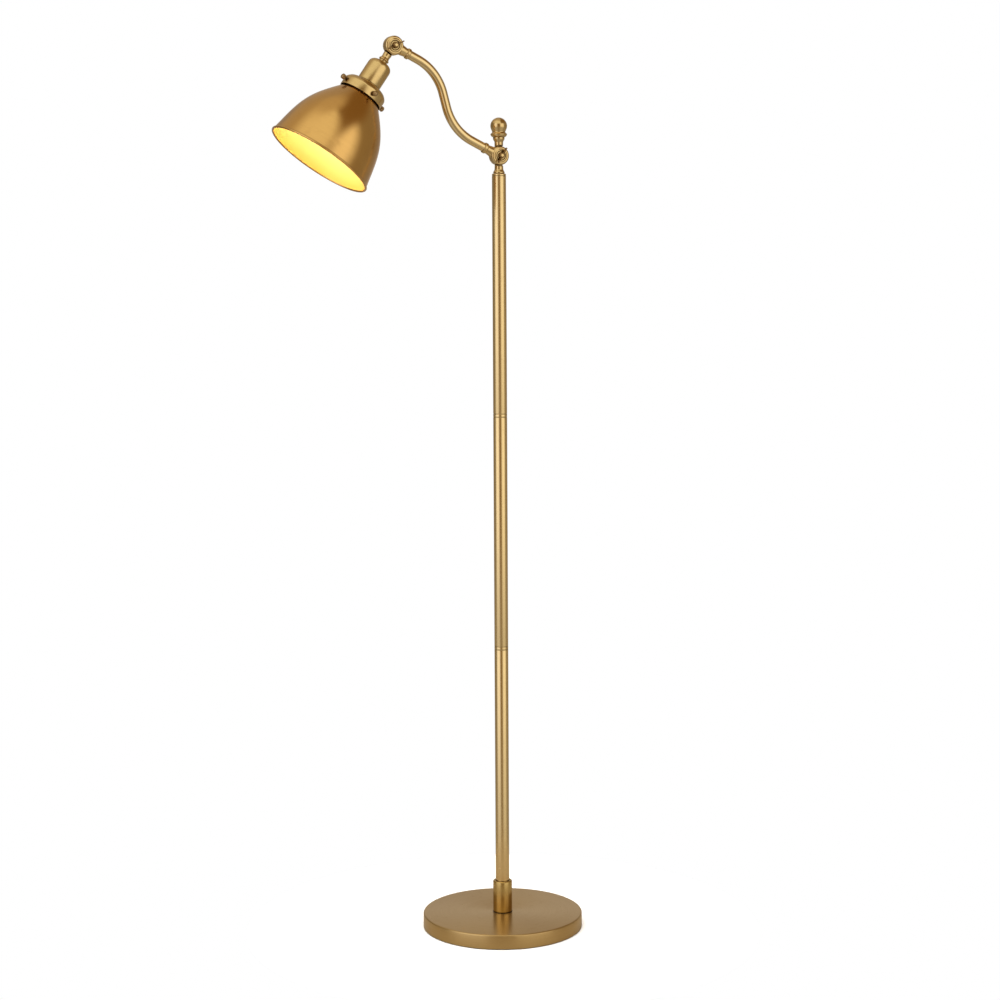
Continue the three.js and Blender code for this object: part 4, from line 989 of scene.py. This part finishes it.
class LAMP_OT_make_hardware(bpy.types.Operator):
    """Friction washers, screws, boss washers and wing nuts of both knuckles"""
    bl_idname = "lamp.make_hardware"
    bl_label = "Washers, Screws and Wing Nuts"

    def execute(self, context):
        self.sizes = in_mm(context.scene.lamp_knuckle)
        for place, point in (("lower", STEM_PLACE), ("upper", UPPER_HINGE_PLACE)):
            material = screw_brass(place, point)
            self.make_washers(place, point, material)
            self.make_screw(place, point, material)
            self.make_wing_nut(place, point, wing_brass(place, point))
        return {"FINISHED"}

    def make_washers(self, place, point, material):
        hole = self.sizes.screw + GAP
        low, high, radius = span(place + "_friction_washer", point @ TO_HINGE)
        ring = hinged([(hole, low), (radius, low, 0.2), (radius, high, 0.2), (hole, high)], ROUND, closed=True)
        add_piece(ring, place + "_friction_washer", [fibre()], point)
        low, high, radius = span(place + "_boss_washer", point @ TO_HINGE)
        ring = hinged([
            (hole, low), (radius - 0.7, low, 0.3), (radius, (low + high) / 2, 0.3), (radius, high), (hole, high),
        ], ROUND, closed=True)
        add_piece(ring, place + "_boss_washer", [material], point)

    def make_screw(self, place, point, material):
        node = place + "_knuckle_screw"
        low, high, head = span(node, point @ TO_HINGE)
        shank = self.sizes.screw
        seat = self.sizes.face + self.sizes.half + GAP
        body = hinged([
            (0, low), (shank - 0.5, low, 0.4), (shank, low + 0.9, 0.4), (shank, seat), (head, seat, 0.3),
            (head, seat + 1.1, 0.9), (head * 0.62, high, 1.6), (0, high),
        ], SMALL)
        slot = bmesh.new()
        bmesh.ops.create_cube(slot, size=1)
        bmesh.ops.scale(slot, vec=(3 * head, 2.0, 1.1), verts=slot.verts)
        bmesh.ops.translate(slot, vec=(0, high, 0), verts=slot.verts)
        add_piece(cut(body, slot), node, [material], point)

    def make_wing_nut(self, place, point, material):
        node = place + "_wing_nut"
        low, high, span_radius = span(node, point @ TO_HINGE)
        shank = self.sizes.screw
        hub_end = span(place + "_knuckle_screw", point @ TO_HINGE)[0] + 0.8
        hub = hinged([
            (0, hub_end), (4.3, hub_end, 0.8), (5.4, high - 1.2, 0.8), (5.4, high, 0.3), (0, high),
        ], SMALL)
        rise = high - low
        tip = span_radius - 0.1
        ear = softened(plate([
            (shank + 0.8, 0.6), (tip * 0.78, 0.7, 3.4), (tip, rise * 0.52, 2.6), (tip, rise, 2.4),
            (tip * 0.76, rise, 1.6), (tip * 0.52, rise * 0.80, 3.0), (shank + 0.8, 4.4),
        ], self.sizes.ear_thickness), 0.55, 3)
        moved(ear, Matrix.Translation((0, high, 0)) @ TO_FRONT)
        other = moved(ear.copy(), Matrix.Rotation(math.pi, 4, "Y"))
        hole = moved(rod(shank + GAP, -HOLE_REACH, 0), TO_HINGE)
        nut = cut(joined(hub, ear, other), hole)
        moved(nut, Matrix.Rotation(math.radians(-WING_ANGLES[place]), 4, "Y"))
        add_piece(nut, node, [material], point)


class LAMP_OT_make_finial(bpy.types.Operator):
    """Ball finial on a rounded ring"""
    bl_idname = "lamp.make_finial"
    bl_label = "Finial"

    def execute(self, context):
        low, high, radius = span("finial", STEM_PLACE)
        seat = span("stem_knuckle", STEM_PLACE)[1]
        add_piece(turned([
            (0, low), (STEM_THREAD, low, 0.5), (STEM_THREAD, seat), (radius - 3, seat, 0.4), (radius, seat + 3.0, 2.2),
            (radius, seat + 5.2, 1.8), (radius * 0.77, seat + 8.2, 1.2), (radius * 0.84, seat + 10.6, 0.5),
            *arc(0, high - radius, radius, -28, 90, 24),
        ]), "finial", [stem_brass()], STEM_PLACE)
        return {"FINISHED"}


# ---- Arm ----
class LAMP_OT_make_arm_tube(bpy.types.Operator):
    """Swan-neck tube drawn along straights and bends, with its wall"""
    bl_idname = "lamp.make_arm_tube"
    bl_label = "Arm Tube"

    def execute(self, context):
        wall = in_mm(context.scene.lamp_head).arm_wall
        bend = math.radians(ARM_MIDDLE_SLOPE - ARM_SLOPE)
        slope = math.radians(ARM_SLOPE)
        along = Vector((-math.cos(slope), 0, math.sin(slope)))
        point = along * ARM_START
        bm = bmesh.new()
        ends = bmesh.ops.create_circle(bm, segments=SMALL, radius=ARM_RADIUS - wall)["verts"]
        place = Matrix.Translation(point) @ along.to_track_quat("Z", "Y").to_matrix().to_4x4()
        bmesh.ops.transform(bm, matrix=place, verts=ends)
        loop = bm.edges[:]
        for kind, size in ARM_RUNS:
            if kind == "straight":
                made = bmesh.ops.extrude_edge_only(bm, edges=loop)["geom"]
                verts = [item for item in made if isinstance(item, bmesh.types.BMVert)]
                bmesh.ops.translate(bm, vec=along * size, verts=verts)
                point = point + along * size
                loop = [item for item in made if isinstance(item, bmesh.types.BMEdge)]
                continue
            turn = math.copysign(bend, size)
            up = Vector((along.z, 0, -along.x)).normalized()
            centre = point + up * size
            made = bmesh.ops.spin(bm, geom=loop, cent=centre, axis=(0, 1, 0), angle=turn,
                                  steps=BEND_STEPS)["geom_last"]
            loop = [item for item in made if isinstance(item, bmesh.types.BMEdge)]
            spin = Matrix.Rotation(turn, 3, "Y")
            point = centre + spin @ (point - centre)
            along = spin @ along
        tidy(bm)
        bmesh.ops.solidify(bm, geom=bm.faces[:], thickness=-wall)
        tidy(bm)
        add_piece(bm, "arm_tube", [arm_brass()], STEM_PLACE)
        return {"FINISHED"}


# ---- Head ----
class LAMP_OT_make_cup(bpy.types.Operator):
    """Socket cup, porcelain lampholder and its screw shell"""
    bl_idname = "lamp.make_cup"
    bl_label = "Cup and Lampholder"

    def execute(self, context):
        sizes = in_mm(context.scene.lamp_head)
        low, high, radius = span("socket_cup", HEAD_PLACE)
        top, bottom = -high, -low
        hole = span("cup_nipple", HEAD_PLACE)[2] + GAP
        wall = sizes.sheet
        add_piece(turned(hanging([
            (radius - wall, bottom), (radius, bottom, 0.5), (radius, top, sizes.cup_shoulder), (hole, top, 0.3),
            (hole, top + wall), (radius - wall, top + wall, sizes.cup_shoulder - wall),
        ]), ROUND, closed=True), "socket_cup", [head_brass()], HEAD_PLACE)
        low, high, radius = span("lampholder", HEAD_PLACE)
        shell_radius = span("screw_shell", HEAD_PLACE)[2]
        floor = -span("centre_contact", HEAD_PLACE)[1] - GAP
        inner = shell_radius + 0.4
        add_piece(turned(hanging([
            (inner, -low, 0.4), (radius, -low, 0.8), (radius, -high, 2.0), (hole, -high, 0.4), (hole, floor),
            (inner, floor),
        ]), ROUND, closed=True), "lampholder", [porcelain()], HEAD_PLACE)
        low, high, radius = span("screw_shell", HEAD_PLACE)
        add_piece(pipe(radius, radius - 0.6, low, high, 0.15), "screw_shell", [head_brass()], HEAD_PLACE)
        return {"FINISHED"}


class LAMP_OT_make_fitter(bpy.types.Operator):
    """Fitter that carries the shade, drilled for its thumb screws, and the nut that holds it"""
    bl_idname = "lamp.make_fitter"
    bl_label = "Fitter"

    def execute(self, context):
        wall = in_mm(context.scene.lamp_head).sheet
        low, high, radius = span("fitter", HEAD_PLACE)
        top, foot = -high, -low
        hole = span("lampholder", HEAD_PLACE)[2] + 2 * GAP
        cup = span("socket_cup", HEAD_PLACE)[2] + 0.8
        band = foot - 13.6
        ridge = radius - 8.5
        shell = turned(hanging([
            (radius - wall, foot), (radius, foot, 0.4), (radius, band + 0.6, 1.2), (radius - 1.0, band - 2.4, 2.4),
            (ridge + 2.2, band - 7.9, 2.4), (ridge, band - 8.2, 1.0), (cup, top, 1.2), (hole, top, 0.3),
            (hole, top + wall), (cup, top + wall, 0.8), (ridge - 0.3, band - 7.0, 0.8), (ridge + 2.0, band - 6.7, 1.6),
            (radius - 2.1, band - 1.8, 1.6), (radius - wall, band + 0.8, 0.6),
        ]), LARGE, closed=True)
        shank = span("thumb_screw_1", screw_place(0))[2] - SCREW_HEAD_LIP
        holes = [moved(rod(shank + GAP, radius - 8, radius + 8), in_head(screw_place(number)))
                 for number in range(4)]
        shell = cut(shell, *holes)
        # The fitter's inside and the underside of its foot are black: painted shade for the dark gap round the shade's
        # neck.
        for face in shell.faces:
            centre = face.calc_center_median()
            inward = face.normal.x * centre.x + face.normal.y * centre.y < -0.3 * centre.xy.length
            face.material_index = int(inward or face.normal.z < -0.6 and -centre.z < foot - 1)
        add_piece(shell, "fitter", [head_brass(), black_gap_shade()], HEAD_PLACE)
        low, high, radius = span("fitter_ring_nut", HEAD_PLACE)
        add_piece(pipe(radius, span("lampholder", HEAD_PLACE)[2] + GAP, low, high, 0.8), "fitter_ring_nut",
                  [head_brass()], HEAD_PLACE)
        return {"FINISHED"}


def screw_place(number):
    """A place on the shade's axis whose Z runs outwards along a thumb screw."""
    level = (SCREW_POINTS[number] - HEAD_POINT).dot(SHADE_AXIS)
    turn = SCREW_AXES[number].to_track_quat("Z", "Y").to_matrix().to_4x4()
    return Matrix.Translation(HEAD_POINT + SHADE_AXIS * level) @ turn


def in_head(place):
    """A place seen from the head's own place, for shapes still in millimetres."""
    return Matrix.Scale(1 / MM, 4) @ HEAD_PLACE.inverted() @ place @ Matrix.Scale(MM, 4)


class LAMP_OT_make_thumb_screws(bpy.types.Operator):
    """Four knurled thumb screws that hold the shade in its fitter"""
    bl_idname = "lamp.make_thumb_screws"
    bl_label = "Thumb Screws"

    def execute(self, context):
        knurls = context.scene.lamp_head.knurls
        fitter = span("fitter", HEAD_PLACE)[2]
        for number in range(4):
            node = f"thumb_screw_{number + 1}"
            place = screw_place(number)
            low, high, radius = span(node, place)
            shank = radius - SCREW_HEAD_LIP
            head = fitter + 2.5
            body = turned([
                (0, low), (shank - 0.4, low, 0.2), (shank, low + 0.8, 0.2), (shank, head), (radius - 1.2, head, 0.3),
                (radius, head + 1.2), (radius, high - 1.6), (radius - 1.5, high - 0.3, 0.6), (radius - 2.2, high - 0.3),
                (radius - 2.6, high, 0.2), (0, high),
            ], 2 * knurls)
            self.knurl(body, radius, knurls)
            add_piece(body, node, [dark_brass()], place)
        return {"FINISHED"}

    def knurl(self, bm, radius, knurls):
        """Draws every second line of the head inwards."""
        step = FULL_TURN / (2 * knurls)
        hollows = [vert for vert in bm.verts if math.hypot(vert.co.x, vert.co.y) > radius - 0.1
                   and round(math.atan2(vert.co.y, vert.co.x) / step) % 2]
        bmesh.ops.scale(bm, vec=(0.93, 0.93, 1), verts=hollows)


class LAMP_OT_make_shade(bpy.types.Operator):
    """Spun dome with its lip, neck, flare and rolled rim, lined in pale gold"""
    bl_idname = "lamp.make_shade"
    bl_label = "Shade"

    def execute(self, context):
        sizes = in_mm(context.scene.lamp_head)
        fullness = context.scene.lamp_head.fullness
        wall = sizes.shade_wall
        low, high, rim = span("shade", HEAD_PLACE)
        lip_top, end = -high, -low
        neck = SHADE_NECK
        top = lip_top + SHADE_NECK_LENGTH
        rim_centre = rim - sizes.bead
        foot = end - 2 * sizes.bead - SHADE_FLARE
        outer, inner = (self.dome(neck + 1.6, top, SHADE_WIDEST, foot, fullness, inset) for inset in (0, wall))
        bm = turned(hanging([
            *arc(rim_centre, end - sizes.bead, sizes.bead, 180, -90, 10), *reversed(outer[:-1]),
            (neck, top - wall / 2, 0.6), (neck, lip_top + wall, 0.4), (neck + 2.1, lip_top + wall, 0.3),
            (neck + 2.1, lip_top, 0.3), (neck - wall, lip_top, 0.4), (neck - wall, top - wall / 2), *inner[:-1],
        ]), LARGE, closed=True)
        for face in bm.faces:
            centre = face.calc_center_median()
            inward = face.normal.x * centre.x + face.normal.y * centre.y < 0
            lined = top - 2 < -centre.z <= end - 2 * sizes.bead - 1
            face.material_index = int(lined and (inward or face.normal.z < -0.5))
        add_piece(bm, "shade", [shade_brass(), shade_lining()], HEAD_PLACE)
        return {"FINISHED"}

    def dome(self, top_radius, top, wide, foot, fullness, inset):
        """The dome's outline from its top edge to its foot, moved inwards by a wall."""
        start_slope, end_slope = DOME_START_SLOPE, DOME_END_SLOPE
        rise = wide - top_radius
        drop = foot - top
        sine = math.sin(start_slope - end_slope)
        upper = fullness * (rise * math.cos(end_slope) - drop * math.sin(end_slope)) / sine
        lower = fullness * (drop * math.sin(start_slope) - rise * math.cos(start_slope)) / sine
        start = Vector((top_radius, top, 0))
        finish = Vector((wide, foot, 0))
        start_hand = start + upper * Vector((math.sin(start_slope), math.cos(start_slope), 0))
        finish_hand = finish - lower * Vector((math.sin(end_slope), math.cos(end_slope), 0))
        points = interpolate_bezier(start, start_hand, finish_hand, finish, DOME_POINTS + 1)
        corners = []
        for index, point in enumerate(points):
            before = points[max(index - 1, 0)]
            after = points[min(index + 1, DOME_POINTS)]
            along = (after - before).normalized()
            corners.append((point.x - inset * along.y, point.y + inset * along.x))
        return corners


class LAMP_OT_make_bulb(bpy.types.Operator):
    """Screw cap with its rolled thread and a frosted globe"""
    bl_idname = "lamp.make_bulb"
    bl_label = "Bulb"

    def execute(self, context):
        low, high, radius = span("bulb_cap", HEAD_PLACE)
        top, bottom = -high, -low
        waves = []
        for turn in range(5):
            crest = bottom - 3.2 - turn * 3.4
            waves += [(radius, crest, 0.9), (radius - 1.0, crest - 1.7, 0.9)]
        add_piece(turned(hanging([
            (0, bottom), (radius - 0.4, bottom), (radius - 0.4, bottom - 1.8, 0.4), *waves, (5, top + 1.2, 0.8),
            (4, top, 0.5), (0, top),
        ]), ROUND), "bulb_cap", [nickel()], HEAD_PLACE)
        low, high, radius = span("bulb_glass", HEAD_PLACE)
        neck = span("bulb_cap", HEAD_PLACE)[2]
        wall = 1.2
        top, centre = -high, -low - radius
        outer = [*arc(0, centre, radius, 90, -35, 24), (neck + 5, top + 22, 6), (neck + 0.5, top + 9, 4)]
        inner = [(neck - wall + 0.5, top + 9, 4), (neck - wall + 5, top + 22, 6),
                 *reversed(arc(0, centre, radius - wall, 90, -35, 24))]
        add_piece(turned(hanging([*outer, (neck, top), (neck - wall, top), *inner]), ROUND), "bulb_glass",
                  [bulb_glass()], HEAD_PLACE)
        return {"FINISHED"}


# ---- Frame parts that stay ----
class LAMP_OT_finish_frame_parts(bpy.types.Operator):
    """Gives the parts that are kept from the frame their cast, plated and braided finishes"""
    bl_idname = "lamp.finish_frame_parts"
    bl_label = "Frame Part Finishes"

    def execute(self, context):
        finished = {
            cast_iron: ("base_weight",),
            zinc_steel: ("threaded_rod", "rod_nut", "rod_washer", "column_plug", "cup_nipple", "cup_nut"),
            head_brass: ("centre_contact",),
            lead_sheath: ("column_lead", "arm_lead"),
        }
        for make, nodes in finished.items():
            for node in nodes:
                kept = NODES[node]
                if not kept.material_slots:
                    kept.data.materials.append(make())
                for slot in kept.material_slots:
                    slot.material = make()
        return {"FINISHED"}


# ---- Add-on ----
STEPS = (
    LAMP_OT_make_stage, LAMP_OT_make_base, LAMP_OT_make_column, LAMP_OT_make_knuckles, LAMP_OT_make_hardware,
    LAMP_OT_make_finial, LAMP_OT_make_arm_tube, LAMP_OT_make_cup, LAMP_OT_make_fitter, LAMP_OT_make_thumb_screws,
    LAMP_OT_make_shade, LAMP_OT_make_bulb, LAMP_OT_finish_frame_parts,
)


class LAMP_PT_pieces(bpy.types.Panel):
    """Lists the lamp's pieces in the order in which they are made"""
    bl_idname = "LAMP_PT_pieces"
    bl_label = "Floor Lamp"
    bl_space_type = "VIEW_3D"
    bl_region_type = "UI"
    bl_category = "Floor Lamp"

    def draw(self, context):
        for step in STEPS:
            self.layout.operator(step.bl_idname)
        for name, group in SETTINGS.items():
            box = self.layout.box()
            for prop in group.__annotations__:
                box.prop(getattr(context.scene, name), prop)


def register():
    for group in SETTINGS.values():
        bpy.utils.register_class(group)
    for name, group in SETTINGS.items():
        setattr(bpy.types.Scene, name, PointerProperty(type=group))
    for made in (*STEPS, LAMP_PT_pieces):
        bpy.utils.register_class(made)


def unregister():
    for made in reversed((*STEPS, LAMP_PT_pieces)):
        bpy.utils.unregister_class(made)
    for name in SETTINGS:
        delattr(bpy.types.Scene, name)
    for group in reversed(SETTINGS.values()):
        bpy.utils.unregister_class(group)


def main():
    register()
    bpy.ops.lamp.make_stage()
    bpy.ops.lamp.make_base()
    bpy.ops.lamp.make_column()
    bpy.ops.lamp.make_knuckles()
    bpy.ops.lamp.make_hardware()
    bpy.ops.lamp.make_finial()
    bpy.ops.lamp.make_arm_tube()
    bpy.ops.lamp.make_cup()
    bpy.ops.lamp.make_fitter()
    bpy.ops.lamp.make_thumb_screws()
    bpy.ops.lamp.make_shade()
    bpy.ops.lamp.make_bulb()
    bpy.ops.lamp.finish_frame_parts()
    bpy.context.view_layer.update()


if __name__ == "__main__":
    main()
